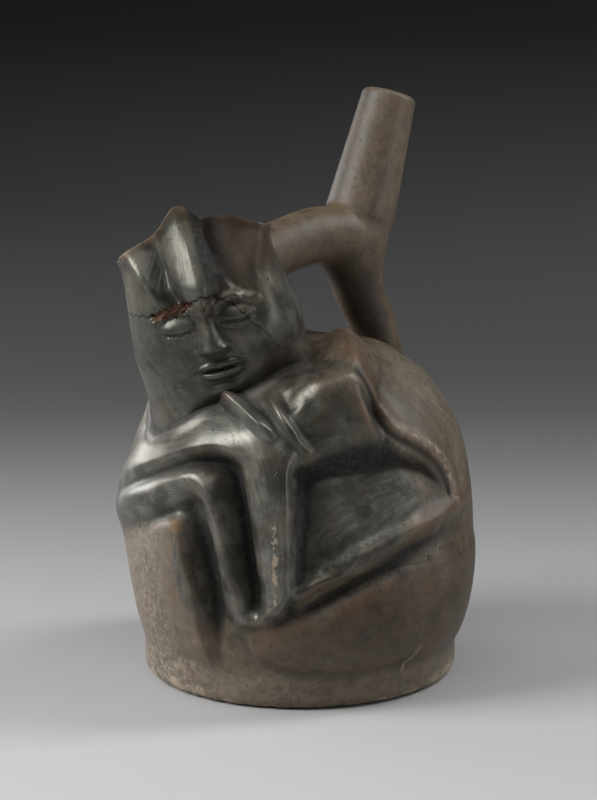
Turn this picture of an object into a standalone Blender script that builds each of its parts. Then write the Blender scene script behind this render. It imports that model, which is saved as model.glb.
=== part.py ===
"""Spouted effigy vessel: a hollow seated figure of burnished clay with a stirrup spout.

The chamber is two moulded half walls on a flat slab. Coils and pads of clay are luted on it as limbs,
the hollow head opens into it, and two hollow limbs, from the head and from the dome, carry one spout.
+Z is up, the figure sits facing -Y, the stirrup lies in the plane x = 0, and the origin is the centre
of the standing face. On the wall, a place is a turn in degrees, from -Y towards +X, and a climb in
metres along the wall's profile from the table.
"""
import math

import bmesh
import bpy
import numpy as np
from mathutils import Matrix, Vector

# Joints between pieces
JOINT_GAP = 0.0003

# Chamber
SLAB_RADIUS = 0.0605
SLAB_THICKNESS = 0.006
SLAB_EDGE_ROUND = 0.0018
FOOT_RADIUS = 0.0595
FOOT_HEIGHT = 0.013
BELLY_RADIUS = 0.067
BELLY_HEIGHT = 0.055
DOME_HEIGHT = 0.130
DOME_FULLNESS = 2.6
WALL = 0.006

# Hollow under the cape, between the lap panel, the left forearm and the cape's edge
RECESS_DEPTH = 0.0065
RECESS_TURNS = (49.0, 108.0)
RECESS_TOP = 0.093
RECESS_SLOPE = 0.010
RECESS_SLOPE_TURN = 11.0

# Relief on the wall: its height, and its route as turn, climb and half width
RELIEF_EDGE = 0.0009
RELIEF_FULLNESS = 0.7
RELIEF_BLUNT_END = 0.08
THIGH_RELIEF = 0.0068
THIGH_ROUTE = ((31, 0.030, 0.004), (46, 0.0285, 0.0095), (62, 0.031, 0.014),
               (82, 0.034, 0.0175), (102, 0.0345, 0.0180), (122, 0.033, 0.015))
RIGHT_THIGH_ROUTE = ((-71, 0.031, 0.0085), (-84, 0.0335, 0.0150), (-104, 0.0345, 0.0170),
                     (-122, 0.033, 0.0140))
FOREARM_RELIEF = 0.0045
FOREARM_ROUTE = ((50, 0.0470, 0.0034), (60, 0.0530, 0.0036), (72, 0.0575, 0.0036),
                 (92, 0.0605, 0.0036), (113, 0.0630, 0.0030))
RIGHT_FOREARM_ROUTE = ((-70, 0.0570, 0.0032), (-80, 0.0590, 0.0036), (-95, 0.0608, 0.0036),
                       (-113, 0.0630, 0.0030))
LAP_RELIEF = 0.0062
LAP_ROUTE = ((34.5, 0.0925, 0.0115), (36, 0.073, 0.0120), (37.5, 0.057, 0.0102), (37.5, 0.0435, 0.0075))
SHIN_RELIEF = 0.0050
SHIN_ROUTE = ((17, 0.0765, 0.0034), (19.2, 0.066, 0.0036), (21.5, 0.054, 0.0036), (24.5, 0.036, 0.0028))
KNEE_RELIEF = 0.0062
KNEE_ROUTE = ((-27, 0.0640, 0.0048), (-13, 0.0715, 0.0056), (1, 0.0790, 0.0054), (12, 0.0835, 0.0044))
LEG_RELIEF = 0.0036
LEG_ROUTE = ((-7, 0.0600, 0.0080), (-11, 0.044, 0.0135), (-13, 0.0265, 0.0165), (-13, 0.0160, 0.0150))
COLLAR_RELIEF = 0.0042
COLLAR_ROUTE = ((-30, 0.0760, 0.0040), (-15, 0.0840, 0.0042), (2, 0.0900, 0.0040), (17, 0.0925, 0.0036))
HAND_RELIEF = 0.0100
HAND_ROUTE = ((51, 0.0985, 0.0062), (60, 0.1065, 0.0100), (70, 0.1170, 0.0105), (84, 0.1340, 0.0085),
              (98, 0.1450, 0.0060))
ROD_RELIEF = 0.0040
ROD_ROUTE = ((26, 0.1040, 0.0019), (36, 0.1035, 0.0020), (45, 0.0985, 0.0018))

# Head
HEAD_BEARING = -12.8
HEAD_OUT = 0.0385
HEAD_RISE = 0.014
HEAD_TURN = 44.0
HEAD_ROLL = 15.0
HEAD_WALL = 0.005
JAW_HALF_WIDTH = 0.0335
CROWN_HALF_WIDTH = 0.0280
FACE_DEPTH = 0.0275
CHIN_DEPTH = 0.0225
JAW_DROP = 0.0270
NECK_DROP = 0.0420
NECK_HALF_WIDTH = 0.0215
NECK_DEPTH = 0.0130
HEAD_BACK_DEPTH = 0.0240
HEAD_SQUARENESS = 3.0
HEAD_BELOW = 0.050
CROWN_RISE = 0.0325
CROWN_BACK_RISE = 0.0250
CROWN_FRONT_COSINES = (-0.6, 0.4)
CROWN_CAP_RISE = 0.0270
CROWN_CAP_DISH = 1.5
CROWN_PEAK = 0.0135
CROWN_PEAK_TURN = -4.0
CROWN_PEAK_SPREAD = 20.0
CROWN_CORNER = 0.0020
CORNER_TURN = 50.0
CORNER_SPREAD = 12.0
RIDGE_RELIEF = 0.0045
RIDGE_TURN = 11.0
FACE_TURNS = (-95.0, 60.0)
BREAK_LEFT = 0.0110
BREAK_RIGHT = -0.0180
BREAK_TURNS = (4.0, 52.0)
NECK_HOLE_RADIUS = 0.0150

# Stirrup and spout, in the plane x = 0
JUNCTION_BACK = 0.0322
JUNCTION_RISE = 0.0345
JUNCTION_RADIUS = 0.0122
FRONT_LIMB_LIFT = 18.0
REAR_LIMB_LEAN = 6.0
SPOUT_LEAN = 15.2
SPOUT_LENGTH = 0.0582
SPOUT_BASE_RADIUS = 0.0130
SPOUT_LIP_RADIUS = 0.0107
LIP_ROUND = 0.0014
LIMB_WALL = 0.0032
FRONT_LIMB_RADIUS = 0.0102
REAR_LIMB_RADIUS = 0.0088
LIMB_TAPER_SHARE = 0.7
MITRE_LENGTH = 0.0130
FRONT_SOCKET_LENGTH = 0.0220
REAR_SOCKET_LENGTH = 0.0200
FRONT_SOCKET_BACK = -0.0270
FRONT_SOCKET_RISE = 0.0330
FRONT_SOCKET_DIP = 11.0
REAR_SOCKET_BACK = 0.0462
REAR_SOCKET_DROP = 0.0205
REAR_SOCKET_LEAN = 18.0

# Facets
WALL_TURN_STEP = 7.5
WALL_CLIMB_STEP = 0.0075
RELIEF_STEP = 0.0062
RELIEF_COLUMNS = 7
HEAD_TURN_STEP = 7.75
FACE_ROWS = 10
CROWN_ROWS = 9
CROWN_CAP_RINGS = (0.86, 0.6, 0.3, 0.0)
TUBE_SIDES = 20
LIMB_RINGS = 7
SPOUT_RINGS = 4
LEAST_RELIEF_STATIONS = 6

SLIP_BROWN = (0.112, 0.092, 0.066)
THIGH_BROWN = (0.097, 0.073, 0.050)
BURNISHED_GREY = (0.062, 0.058, 0.049)
CHEST_GREY = (0.040, 0.038, 0.033)
SPOUT_TAN = (0.170, 0.140, 0.108)
PLINTH_TAN = (0.125, 0.100, 0.074)

MATT, SATIN, BURNISHED = 0.62, 0.48, 0.30


def clay(name, colour, roughness):
    """Fired clay of one colour and finish."""
    material = bpy.data.materials.new(name + "_clay")
    material.use_nodes = True
    shader = material.node_tree.nodes["Principled BSDF"]
    shader.inputs["Base Color"].default_value = (*colour, 1.0)
    shader.inputs["Roughness"].default_value = roughness
    shader.inputs["Metallic"].default_value = 0.0
    return material


def link_mesh(name, bm, colour=None, roughness=MATT):
    """Turns a closed bmesh into a smooth-shaded object with its own clay."""
    bmesh.ops.remove_doubles(bm, verts=bm.verts, dist=1e-6)
    bmesh.ops.recalc_face_normals(bm, faces=bm.faces)
    mesh = bpy.data.meshes.new(name)
    bm.to_mesh(mesh)
    bm.free()
    mesh.shade_smooth()
    mesh.set_sharp_from_angle(angle=math.radians(38))
    piece = bpy.data.objects.new(name, mesh)
    bpy.context.scene.collection.objects.link(piece)
    if colour is not None:
        mesh.materials.append(clay(name, colour, roughness))
    return piece


def shell(name, outer, inner, colour, roughness, closed_round=False):
    """A closed clay shell between two grids of points, with a rim along every open side."""
    columns, rows = outer.shape[:2]
    bm = bmesh.new()
    skins = [[[bm.verts.new(point) for point in column] for column in grid] for grid in (outer, inner)]
    spans = range(columns if closed_round else columns - 1)
    for layer in skins:
        for i in spans:
            k = (i + 1) % columns
            for j in range(rows - 1):
                bm.faces.new((layer[i][j], layer[k][j], layer[k][j + 1], layer[i][j + 1]))
    out, back = skins
    for j in (0, rows - 1):
        for i in spans:
            k = (i + 1) % columns
            bm.faces.new((out[i][j], out[k][j], back[k][j], back[i][j]))
    if not closed_round:
        for i in (0, columns - 1):
            for j in range(rows - 1):
                bm.faces.new((out[i][j], out[i][j + 1], back[i][j + 1], back[i][j]))
    return link_mesh(name, bm, colour, roughness)


def turned(name, radii, heights, sides, colour=None, roughness=MATT):
    """A solid of revolution about Z, with flat ends."""
    bm = bmesh.new()
    rings = []
    for radius, height in zip(radii, heights):
        spokes = [2 * math.pi * k / sides for k in range(sides)]
        rings.append([bm.verts.new((radius * math.sin(a), -radius * math.cos(a), height)) for a in spokes])
    for low, high in zip(rings, rings[1:]):
        for k in range(sides):
            n = (k + 1) % sides
            bm.faces.new((low[k], low[n], high[n], high[k]))
    bm.faces.new(rings[0])
    bm.faces.new(rings[-1])
    return link_mesh(name, bm, colour, roughness)


def make_cutter(piece):
    piece.hide_render = True
    piece.display_type = 'WIRE'
    return piece


def cut(piece, cutter):
    """Cuts one piece by a hidden cutter."""
    hole = piece.modifiers.new(cutter.name, 'BOOLEAN')
    hole.operation = 'DIFFERENCE'
    hole.solver = 'EXACT'
    hole.object = cutter


def smooth_step(value, low, high):
    share = np.clip((value - low) / (high - low), 0.0, 1.0)
    return share * share * (3.0 - 2.0 * share)


def bump(value, centre, spread):
    return np.exp(-((value - centre) / spread) ** 2)


DOME_RISE = DOME_HEIGHT - BELLY_HEIGHT
DOME_CLIMB = math.pi / 2 * math.sqrt((BELLY_RADIUS ** 2 + DOME_RISE ** 2) / 2)
POLE_CLIMB = BELLY_HEIGHT + DOME_CLIMB


def profile(climb):
    """Radius and height of the plain wall: a straight foot, a flare to the belly, then a full dome."""
    flare = np.clip((climb - FOOT_HEIGHT) / (BELLY_HEIGHT - FOOT_HEIGHT), 0.0, 1.0)
    low_radius = FOOT_RADIUS + (BELLY_RADIUS - FOOT_RADIUS) * np.sin(flare * math.pi / 2)
    arc = np.clip((climb - BELLY_HEIGHT) / DOME_CLIMB, 0.0, 1.0) * math.pi / 2
    power = 2.0 / DOME_FULLNESS
    high_radius = BELLY_RADIUS * np.abs(np.cos(arc)) ** power
    high = BELLY_HEIGHT + DOME_RISE * np.abs(np.sin(arc)) ** power
    on_dome = climb > BELLY_HEIGHT
    return np.where(on_dome, high_radius, low_radius), np.where(on_dome, high, climb)


def recess(turn, climb):
    """Depth of the hollow under the cape; its floor line follows the upper edge of the forearm."""
    forearm = np.array(FOREARM_ROUTE, dtype=float)
    floor = np.interp(turn, forearm[:, 0], forearm[:, 1] + forearm[:, 2]) + RELIEF_EDGE
    start, end = RECESS_TURNS
    across = smooth_step(turn, start, start + RECESS_SLOPE_TURN)
    across = across * (1.0 - smooth_step(turn, end - RECESS_SLOPE_TURN, end))
    up = smooth_step(climb, floor, floor + RECESS_SLOPE)
    up = up * (1.0 - smooth_step(climb, RECESS_TOP - RECESS_SLOPE, RECESS_TOP))
    return RECESS_DEPTH * across * up


def on_wall(turn, climb, lift=0.0):
    """Points on the outside of the wall, raised along its outward normal."""
    turn, climb = np.broadcast_arrays(np.asarray(turn, float), np.asarray(climb, float))
    radius, height = profile(climb)
    step = 1e-5
    radius_low, height_low = profile(climb - step)
    radius_high, height_high = profile(climb + step)
    run, rise = radius_high - radius_low, height_high - height_low
    length = np.hypot(run, rise)
    lift = lift - recess(turn, climb)
    radius = np.maximum(radius + lift * rise / length, 0.0)
    height = height - lift * run / length
    angle = np.radians(turn)
    return np.stack([radius * np.sin(angle), -radius * np.cos(angle), height], axis=-1)


def wall_climbs():
    """Climbs of the wall's rings, with rings on the foot's edge and on the belly."""
    levels = [SLAB_THICKNESS + JOINT_GAP, FOOT_HEIGHT, BELLY_HEIGHT, POLE_CLIMB]
    rings = []
    for low, high in zip(levels, levels[1:]):
        count = max(1, round((high - low) / WALL_CLIMB_STEP))
        rings.extend(np.linspace(low, high, count, endpoint=False))
    return np.array(rings + [POLE_CLIMB])


def body_wall(name, first_turn, side, roughness):
    """Half of the chamber's wall; side is -1 in front and +1 behind the seam plane y = 0."""
    turns = np.linspace(first_turn, first_turn + 180.0, round(180.0 / WALL_TURN_STEP) + 1)[:, None]
    climbs = wall_climbs()[None, :]
    outer, inner = on_wall(turns, climbs), on_wall(turns, climbs, -WALL)
    for grid in (outer, inner):
        grid[..., 1] = side * np.maximum(side * grid[..., 1], JOINT_GAP / 2)
    return shell(name, outer, inner, SLIP_BROWN, roughness)


def base_slab():
    """Flat disc that closes the chamber, with its lower edge rounded by handling."""
    arcs = np.radians((0.0, 30.0, 60.0, 90.0))
    radii = list(SLAB_RADIUS - SLAB_EDGE_ROUND * (1.0 - np.sin(arcs))) + [SLAB_RADIUS]
    heights = list(SLAB_EDGE_ROUND * (1.0 - np.cos(arcs))) + [SLAB_THICKNESS]
    return turned("base_slab", radii, heights, round(360.0 / WALL_TURN_STEP), PLINTH_TAN, MATT)


def relief(name, route, height, colour, roughness):
    """A coil or pad of clay pressed on the wall along a route, thin at its edges and round at its ends."""
    knots = np.array(route, dtype=float)
    tangents = np.gradient(knots, axis=0)
    spans = len(knots) - 1
    metres_per_degree = math.radians(1.0) * BELLY_RADIUS
    reach = np.hypot(np.diff(knots[:, 0]) * metres_per_degree, np.diff(knots[:, 1])).sum()
    stations = np.linspace(0.0, spans, max(LEAST_RELIEF_STATIONS, round(reach / RELIEF_STEP)))
    first = np.minimum(stations.astype(int), spans - 1)
    share = (stations - first)[:, None]
    start, end = knots[first], knots[first + 1]
    leave, arrive = tangents[first], tangents[first + 1]
    line = ((2 * share ** 3 - 3 * share ** 2 + 1) * start + (share ** 3 - 2 * share ** 2 + share) * leave
            + (3 * share ** 2 - 2 * share ** 3) * end + (share ** 3 - share ** 2) * arrive)
    turn, climb, half = line.T
    metres_per_degree = math.radians(1.0) * profile(climb)[0]
    along = np.stack([np.gradient(turn) * metres_per_degree, np.gradient(climb)])
    step = np.hypot(*along)
    across = np.stack([-along[1], along[0]]) / step
    walked = np.concatenate([[0.0], np.cumsum((step[1:] + step[:-1]) / 2)])
    from_end = np.minimum(walked, walked[-1] - walked)
    rounding = np.sqrt(1.0 - (1.0 - np.clip(from_end / half, RELIEF_BLUNT_END, 1.0)) ** 2)
    side = np.linspace(-1.0, 1.0, RELIEF_COLUMNS)
    reach_out = (half * rounding)[:, None] * side[None, :]
    turns = turn[:, None] + reach_out * (across[0] / metres_per_degree)[:, None]
    climbs = climb[:, None] + reach_out * across[1][:, None]
    swell = rounding[:, None] * (1.0 - side[None, :] ** 2) ** RELIEF_FULLNESS
    crown = RELIEF_EDGE + (height - RELIEF_EDGE) * swell
    top = on_wall(turns, climbs, JOINT_GAP + crown)
    seat = on_wall(turns, climbs, JOINT_GAP)
    return shell(name, top, seat, colour, roughness)


def head_frame():
    """Axes of the head: across towards its left, up, and forwards through the face."""
    bearing = math.radians(HEAD_BEARING)
    centre = Vector((HEAD_OUT * math.sin(bearing), -HEAD_OUT * math.cos(bearing), DOME_HEIGHT + HEAD_RISE))
    forward = Vector((math.sin(math.radians(HEAD_TURN)), -math.cos(math.radians(HEAD_TURN)), 0.0))
    roll = Matrix.Rotation(math.radians(HEAD_ROLL), 3, forward)
    across = roll @ Vector((-forward.y, forward.x, 0.0))
    up = roll @ Vector((0.0, 0.0, 1.0))
    return centre, across, up, forward


def crown_height(turn):
    """Rim of the peaked crown: a middle point and two corner points in front, lower behind."""
    front = smooth_step(np.cos(np.radians(turn)), *CROWN_FRONT_COSINES)
    rim = CROWN_BACK_RISE + (CROWN_RISE - CROWN_BACK_RISE) * front
    rim = rim + CROWN_PEAK * bump(turn, CROWN_PEAK_TURN, CROWN_PEAK_SPREAD)
    for corner in (-CORNER_TURN, CORNER_TURN):
        rim = rim + CROWN_CORNER * bump(turn, corner, CORNER_SPREAD)
    return rim


def break_height(turn):
    """Line of the old break between the face and the refitted crown."""
    return BREAK_LEFT + (BREAK_RIGHT - BREAK_LEFT) * smooth_step(turn, *BREAK_TURNS)


def head_radius(turn, height, inset):
    """Rounded-square section of the head; it narrows under the jaw to the neck and has a middle ridge."""
    up = smooth_step(height, -JAW_DROP, CROWN_RISE)
    neck = smooth_step(height, -JAW_DROP, -NECK_DROP)
    half_width = JAW_HALF_WIDTH + (CROWN_HALF_WIDTH - JAW_HALF_WIDTH) * up
    half_width = half_width + (NECK_HALF_WIDTH - JAW_HALF_WIDTH) * neck - inset
    chin = smooth_step(height, 0.0, -JAW_DROP)
    depth_front = FACE_DEPTH + (CHIN_DEPTH - FACE_DEPTH) * chin + (NECK_DEPTH - CHIN_DEPTH) * neck - inset
    angle = np.radians(turn)
    depth = np.where(np.cos(angle) > 0.0, depth_front, HEAD_BACK_DEPTH - inset)
    power = HEAD_SQUARENESS
    plain = (np.abs(np.sin(angle)) / half_width) ** power + (np.abs(np.cos(angle)) / depth) ** power
    ridge = bump(turn, 0.0, RIDGE_TURN) * smooth_step(height, -JAW_DROP, -JAW_DROP / 2)
    return plain ** (-1.0 / power) + np.where(inset > 0.0, 0.0, RIDGE_RELIEF) * ridge


def head_sheet(turns, low, inset, to_cap):
    """One skin of the head over some turns, from a lower line up to the break or over the crown's cap."""
    turn = turns[:, None]
    high = crown_height(turn) - inset if to_cap else break_height(turn) - JOINT_GAP
    rise = np.linspace(0.0, 1.0, CROWN_ROWS if to_cap else FACE_ROWS)[None, :]
    height = low + (high - low) * rise
    shrink = np.ones_like(height)
    if to_cap:
        cap = np.array(CROWN_CAP_RINGS)[None, :]
        centre_height = CROWN_CAP_RISE - inset
        dish = centre_height + (high - centre_height) * cap ** CROWN_CAP_DISH
        height = np.concatenate([height, dish], axis=1)
        shrink = np.concatenate([shrink, np.broadcast_to(cap, (len(turns), cap.size))], axis=1)
    radius = head_radius(turn, height, inset) * shrink
    angle = np.radians(turn)
    centre, across, up, forward = (np.array(axis) for axis in head_frame())
    points = (radius * np.sin(angle))[..., None] * across + height[..., None] * up
    return centre + points + (radius * np.cos(angle))[..., None] * forward


def head_piece(name, first, last, low, to_cap, away, roughness):
    """A curved piece of the hollow head, set off from its neighbour across the side seams."""
    turns = np.linspace(first, last, round((last - first) / HEAD_TURN_STEP) + 1)
    start = low(turns[:, None])
    outer = head_sheet(turns, start, 0.0, to_cap)
    inner = head_sheet(turns, start, HEAD_WALL, to_cap)
    centre, across, up, forward = (np.array(axis) for axis in head_frame())
    middle = math.radians((FACE_TURNS[0] + FACE_TURNS[1]) / 2)
    offset = away * JOINT_GAP * (math.sin(middle) * across + math.cos(middle) * forward)
    return shell(name, outer + offset, inner + offset, BURNISHED_GREY, roughness)


def head_bottom(turns):
    return np.full_like(turns, -HEAD_BELOW)


def above_break(turns):
    return break_height(turns) + JOINT_GAP


def in_stirrup(back, height):
    return np.array([0.0, back, height])


JUNCTION = in_stirrup(JUNCTION_BACK, DOME_HEIGHT + JUNCTION_RISE)


def bearing_in_stirrup(lean):
    """Unit direction in the plane x = 0 at an angle from straight up, towards the back."""
    return np.array([0.0, math.sin(math.radians(lean)), math.cos(math.radians(lean))])


SPOUT_WAY = bearing_in_stirrup(SPOUT_LEAN)
FRONT_WAY = bearing_in_stirrup(FRONT_LIMB_LIFT - 90.0)
REAR_WAY = bearing_in_stirrup(180.0 - REAR_LIMB_LEAN)
FRONT_SOCKET_WAY = bearing_in_stirrup(-90.0 - FRONT_SOCKET_DIP)
REAR_SOCKET_WAY = bearing_in_stirrup(180.0 - REAR_SOCKET_LEAN)
FRONT_SOCKET = in_stirrup(FRONT_SOCKET_BACK, DOME_HEIGHT + FRONT_SOCKET_RISE)
REAR_SOCKET = in_stirrup(REAR_SOCKET_BACK, DOME_HEIGHT - REAR_SOCKET_DROP)


def mitred_ring(way, others, radius, sides):
    """End of a tube at the junction: a round section met by the mitre planes of its two neighbours."""
    flat = np.cross(way, (1.0, 0.0, 0.0))
    spokes = np.arange(sides) * 2 * math.pi / sides
    section = radius * (np.cos(spokes)[:, None] * np.array([1.0, 0.0, 0.0]) + np.sin(spokes)[:, None] * flat)
    reach = np.full(sides, -1.0)
    for other in others:
        normal = (way - other) / np.linalg.norm(way - other)
        reach = np.maximum(reach, (JOINT_GAP / 2 - section @ normal) / (way @ normal))
    return JUNCTION + section + reach[:, None] * way


def ring(centre, way, radius, sides):
    flat = np.cross(way, (1.0, 0.0, 0.0))
    spokes = np.arange(sides) * 2 * math.pi / sides
    sideways = np.array([1.0, 0.0, 0.0])
    return centre + radius * (np.cos(spokes)[:, None] * sideways + np.sin(spokes)[:, None] * flat)


def limb(name, way, others, end, end_way, end_radius, straight):
    """Hollow limb: mitred at the junction, curved, and straight where it enters its socket."""
    start = JUNCTION + MITRE_LENGTH * way
    socket = end - straight * end_way
    pull = np.linalg.norm(socket - start) / 3
    stations = np.linspace(0.0, 1.0, LIMB_RINGS)
    skins = []
    for wall in (0.0, LIMB_WALL):
        rings = [mitred_ring(way, others, JUNCTION_RADIUS - wall, TUBE_SIDES)]
        for t in stations:
            ends = (start, start + pull * way, socket - pull * end_way, socket)
            weights = ((1 - t) ** 3, 3 * t * (1 - t) ** 2, 3 * t * t * (1 - t), t ** 3)
            slopes = (-(1 - t) ** 2, (1 - t) * (1 - 3 * t), t * (2 - 3 * t), t * t)
            centre = sum(w * p for w, p in zip(weights, ends))
            heading = sum(s * p for s, p in zip(slopes, ends))
            heading = heading / np.linalg.norm(heading)
            taper = smooth_step(t, 0.0, LIMB_TAPER_SHARE)
            radius = JUNCTION_RADIUS + (end_radius - JUNCTION_RADIUS) * taper - wall
            rings.append(ring(centre, heading, radius, TUBE_SIDES))
        rings.append(ring(end, end_way, end_radius - wall, TUBE_SIDES))
        skins.append(np.stack(rings, axis=1))
    return shell(name, *skins, SLIP_BROWN, SATIN, closed_round=True)


def spout():
    """Straight hollow spout with a plain rounded lip."""
    lip = JUNCTION + SPOUT_LENGTH * SPOUT_WAY
    others = (FRONT_WAY, REAR_WAY)
    swell = JUNCTION + MITRE_LENGTH * SPOUT_WAY
    straight = np.linspace(0.0, 1.0, SPOUT_RINGS)
    arcs = np.radians((0.0, 35.0, 65.0, 90.0))
    skins = []
    for wall in (0.0, LIMB_WALL):
        inward = -1.0 if wall else 1.0
        rings = [mitred_ring(SPOUT_WAY, others, JUNCTION_RADIUS - wall, TUBE_SIDES)]
        for t in straight:
            centre = swell + t * (SPOUT_LENGTH - MITRE_LENGTH - LIP_ROUND) * SPOUT_WAY
            radius = SPOUT_BASE_RADIUS + (SPOUT_LIP_RADIUS - SPOUT_BASE_RADIUS) * t - wall
            rings.append(ring(centre, SPOUT_WAY, radius, TUBE_SIDES))
        for arc in arcs[1:]:
            centre = lip - LIP_ROUND * (1.0 - math.sin(arc)) * SPOUT_WAY
            radius = SPOUT_LIP_RADIUS - wall - inward * LIP_ROUND * (1.0 - math.cos(arc))
            rings.append(ring(centre, SPOUT_WAY, radius, TUBE_SIDES))
        skins.append(np.stack(rings, axis=1))
    return shell("spout", *skins, SPOUT_TAN, MATT, closed_round=True)


def rod_cutter(name, start, end, radius):
    """Straight round cutter that clears a tube of the same number of sides."""
    way = (end - start) / np.linalg.norm(end - start)
    sides = TUBE_SIDES
    bm = bmesh.new()
    rings = [[bm.verts.new(p) for p in ring(c, way, radius, sides)] for c in (start, end)]
    for k in range(sides):
        n = (k + 1) % sides
        bm.faces.new((rings[0][k], rings[0][n], rings[1][n], rings[1][k]))
    bm.faces.new(rings[0])
    bm.faces.new(rings[1])
    return make_cutter(link_mesh(name, bm))


def dome_cutter():
    """The body's plain outside, one joint gap larger, to seat the head on it."""
    climbs = wall_climbs()[:-1]
    grown = on_wall(0.0, climbs, JOINT_GAP)
    radii, heights = -grown[:, 1], grown[:, 2]
    radii = np.append(radii, WALL / 3)
    heights = np.append(heights, DOME_HEIGHT + JOINT_GAP)
    return make_cutter(turned("dome_cutter", radii, heights, round(360.0 / WALL_TURN_STEP)))


for leftover in list(bpy.data.objects):
    bpy.data.objects.remove(leftover, do_unlink=True)

base_slab()
front_wall = body_wall("body_front_wall", -90.0, -1.0, SATIN)
back_wall = body_wall("body_back_wall", 90.0, 1.0, SATIN)

relief("left_thigh", THIGH_ROUTE, THIGH_RELIEF, THIGH_BROWN, SATIN)
relief("right_thigh", RIGHT_THIGH_ROUTE, THIGH_RELIEF, THIGH_BROWN, SATIN)
relief("left_forearm", FOREARM_ROUTE, FOREARM_RELIEF, BURNISHED_GREY, BURNISHED)
relief("right_forearm", RIGHT_FOREARM_ROUTE, FOREARM_RELIEF, BURNISHED_GREY, BURNISHED)
relief("lap_panel", LAP_ROUTE, LAP_RELIEF, CHEST_GREY, BURNISHED)
relief("shin_ridge", SHIN_ROUTE, SHIN_RELIEF, CHEST_GREY, BURNISHED)
relief("knee_roll", KNEE_ROUTE, KNEE_RELIEF, CHEST_GREY, BURNISHED)
relief("right_leg", LEG_ROUTE, LEG_RELIEF, CHEST_GREY, BURNISHED)
relief("collar_roll", COLLAR_ROUTE, COLLAR_RELIEF, CHEST_GREY, BURNISHED)
relief("left_hand", HAND_ROUTE, HAND_RELIEF, BURNISHED_GREY, BURNISHED)
relief("mouth_rod", ROD_ROUTE, ROD_RELIEF, BURNISHED_GREY, BURNISHED)

head_face = head_piece("head_face", *FACE_TURNS, head_bottom, False, 1.0, BURNISHED)
head_crown = head_piece("head_crown", *FACE_TURNS, above_break, True, 1.0, BURNISHED)
head_back = head_piece("head_back", FACE_TURNS[1], FACE_TURNS[0] + 360.0, head_bottom, True, 0.0, SATIN)

limb("stirrup_front_limb", FRONT_WAY, (SPOUT_WAY, REAR_WAY), FRONT_SOCKET, FRONT_SOCKET_WAY,
     FRONT_LIMB_RADIUS, FRONT_SOCKET_LENGTH)
limb("stirrup_rear_limb", REAR_WAY, (SPOUT_WAY, FRONT_WAY), REAR_SOCKET, REAR_SOCKET_WAY,
     REAR_LIMB_RADIUS, REAR_SOCKET_LENGTH)
spout()

seat = dome_cutter()
for piece in (head_face, head_crown, head_back):
    cut(piece, seat)
head_centre, _, head_up, _ = (np.array(axis) for axis in head_frame())
neck_end = head_centre - 2 * HEAD_BELOW * head_up
neck_hole = rod_cutter("neck_hole_cutter", head_centre, neck_end, NECK_HOLE_RADIUS)
cut(front_wall, neck_hole)
front_hole = rod_cutter("front_socket_cutter", FRONT_SOCKET - FRONT_SOCKET_LENGTH * FRONT_SOCKET_WAY,
                        FRONT_SOCKET + FRONT_SOCKET_LENGTH * FRONT_SOCKET_WAY, FRONT_LIMB_RADIUS + JOINT_GAP)
cut(head_back, front_hole)
rear_hole = rod_cutter("rear_socket_cutter", REAR_SOCKET - REAR_SOCKET_LENGTH * REAR_SOCKET_WAY,
                       REAR_SOCKET + REAR_SOCKET_LENGTH * REAR_SOCKET_WAY, REAR_LIMB_RADIUS + JOINT_GAP)
cut(back_wall, rear_hole)
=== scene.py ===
import math

import bpy
import numpy as np
from mathutils import Matrix, Vector


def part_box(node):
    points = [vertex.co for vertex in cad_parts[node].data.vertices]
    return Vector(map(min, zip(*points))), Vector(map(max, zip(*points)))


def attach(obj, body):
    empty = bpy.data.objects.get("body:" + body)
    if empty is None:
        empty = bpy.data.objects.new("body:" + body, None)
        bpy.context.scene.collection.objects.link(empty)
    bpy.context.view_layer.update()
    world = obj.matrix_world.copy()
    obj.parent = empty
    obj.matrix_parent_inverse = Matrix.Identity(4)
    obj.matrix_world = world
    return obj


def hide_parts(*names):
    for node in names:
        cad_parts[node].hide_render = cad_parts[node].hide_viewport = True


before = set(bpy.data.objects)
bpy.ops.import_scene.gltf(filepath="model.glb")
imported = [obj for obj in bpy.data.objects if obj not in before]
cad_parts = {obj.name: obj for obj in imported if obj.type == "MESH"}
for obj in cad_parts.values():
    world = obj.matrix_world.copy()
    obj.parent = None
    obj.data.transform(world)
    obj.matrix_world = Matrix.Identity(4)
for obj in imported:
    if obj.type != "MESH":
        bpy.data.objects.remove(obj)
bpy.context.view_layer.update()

# Chamber wall: moulded clay, 6 mm thick, that stands on a straight foot, swells to a belly and closes in a
# dome. The figure is pinched and rubbed out of this one skin, so each limb is a change in its lift. A place
# on it is a turn in degrees, from -Y towards +X, and a climb in millimetres along the wall from the table.
foot_radius, foot_height = 60.5, 13.0
belly_radius, belly_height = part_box("body_back_wall")[1].x * 1000, 55.0
dome_height, dome_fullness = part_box("body_back_wall")[1].z * 1000, 2.6
slab_height, wall_thickness = 6.0, 6.0
dome_rise = dome_height - belly_height
dome_climb = math.pi / 2 * math.sqrt((belly_radius ** 2 + dome_rise ** 2) / 2)
pole_climb = belly_height + dome_climb


def wall_profile(climb):
    """Radius and height of the plain wall at a climb."""
    flare = np.clip((climb - foot_height) / (belly_height - foot_height), 0.0, 1.0)
    low = foot_radius + (belly_radius - foot_radius) * np.sin(flare * math.pi / 2)
    arc = np.clip((climb - belly_height) / dome_climb, 0.0, 1.0) * math.pi / 2
    high = belly_radius * np.abs(np.cos(arc)) ** (2 / dome_fullness)
    rise = belly_height + dome_rise * np.abs(np.sin(arc)) ** (2 / dome_fullness)
    return np.where(climb > belly_height, high, low), np.where(climb > belly_height, rise, climb)


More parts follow.
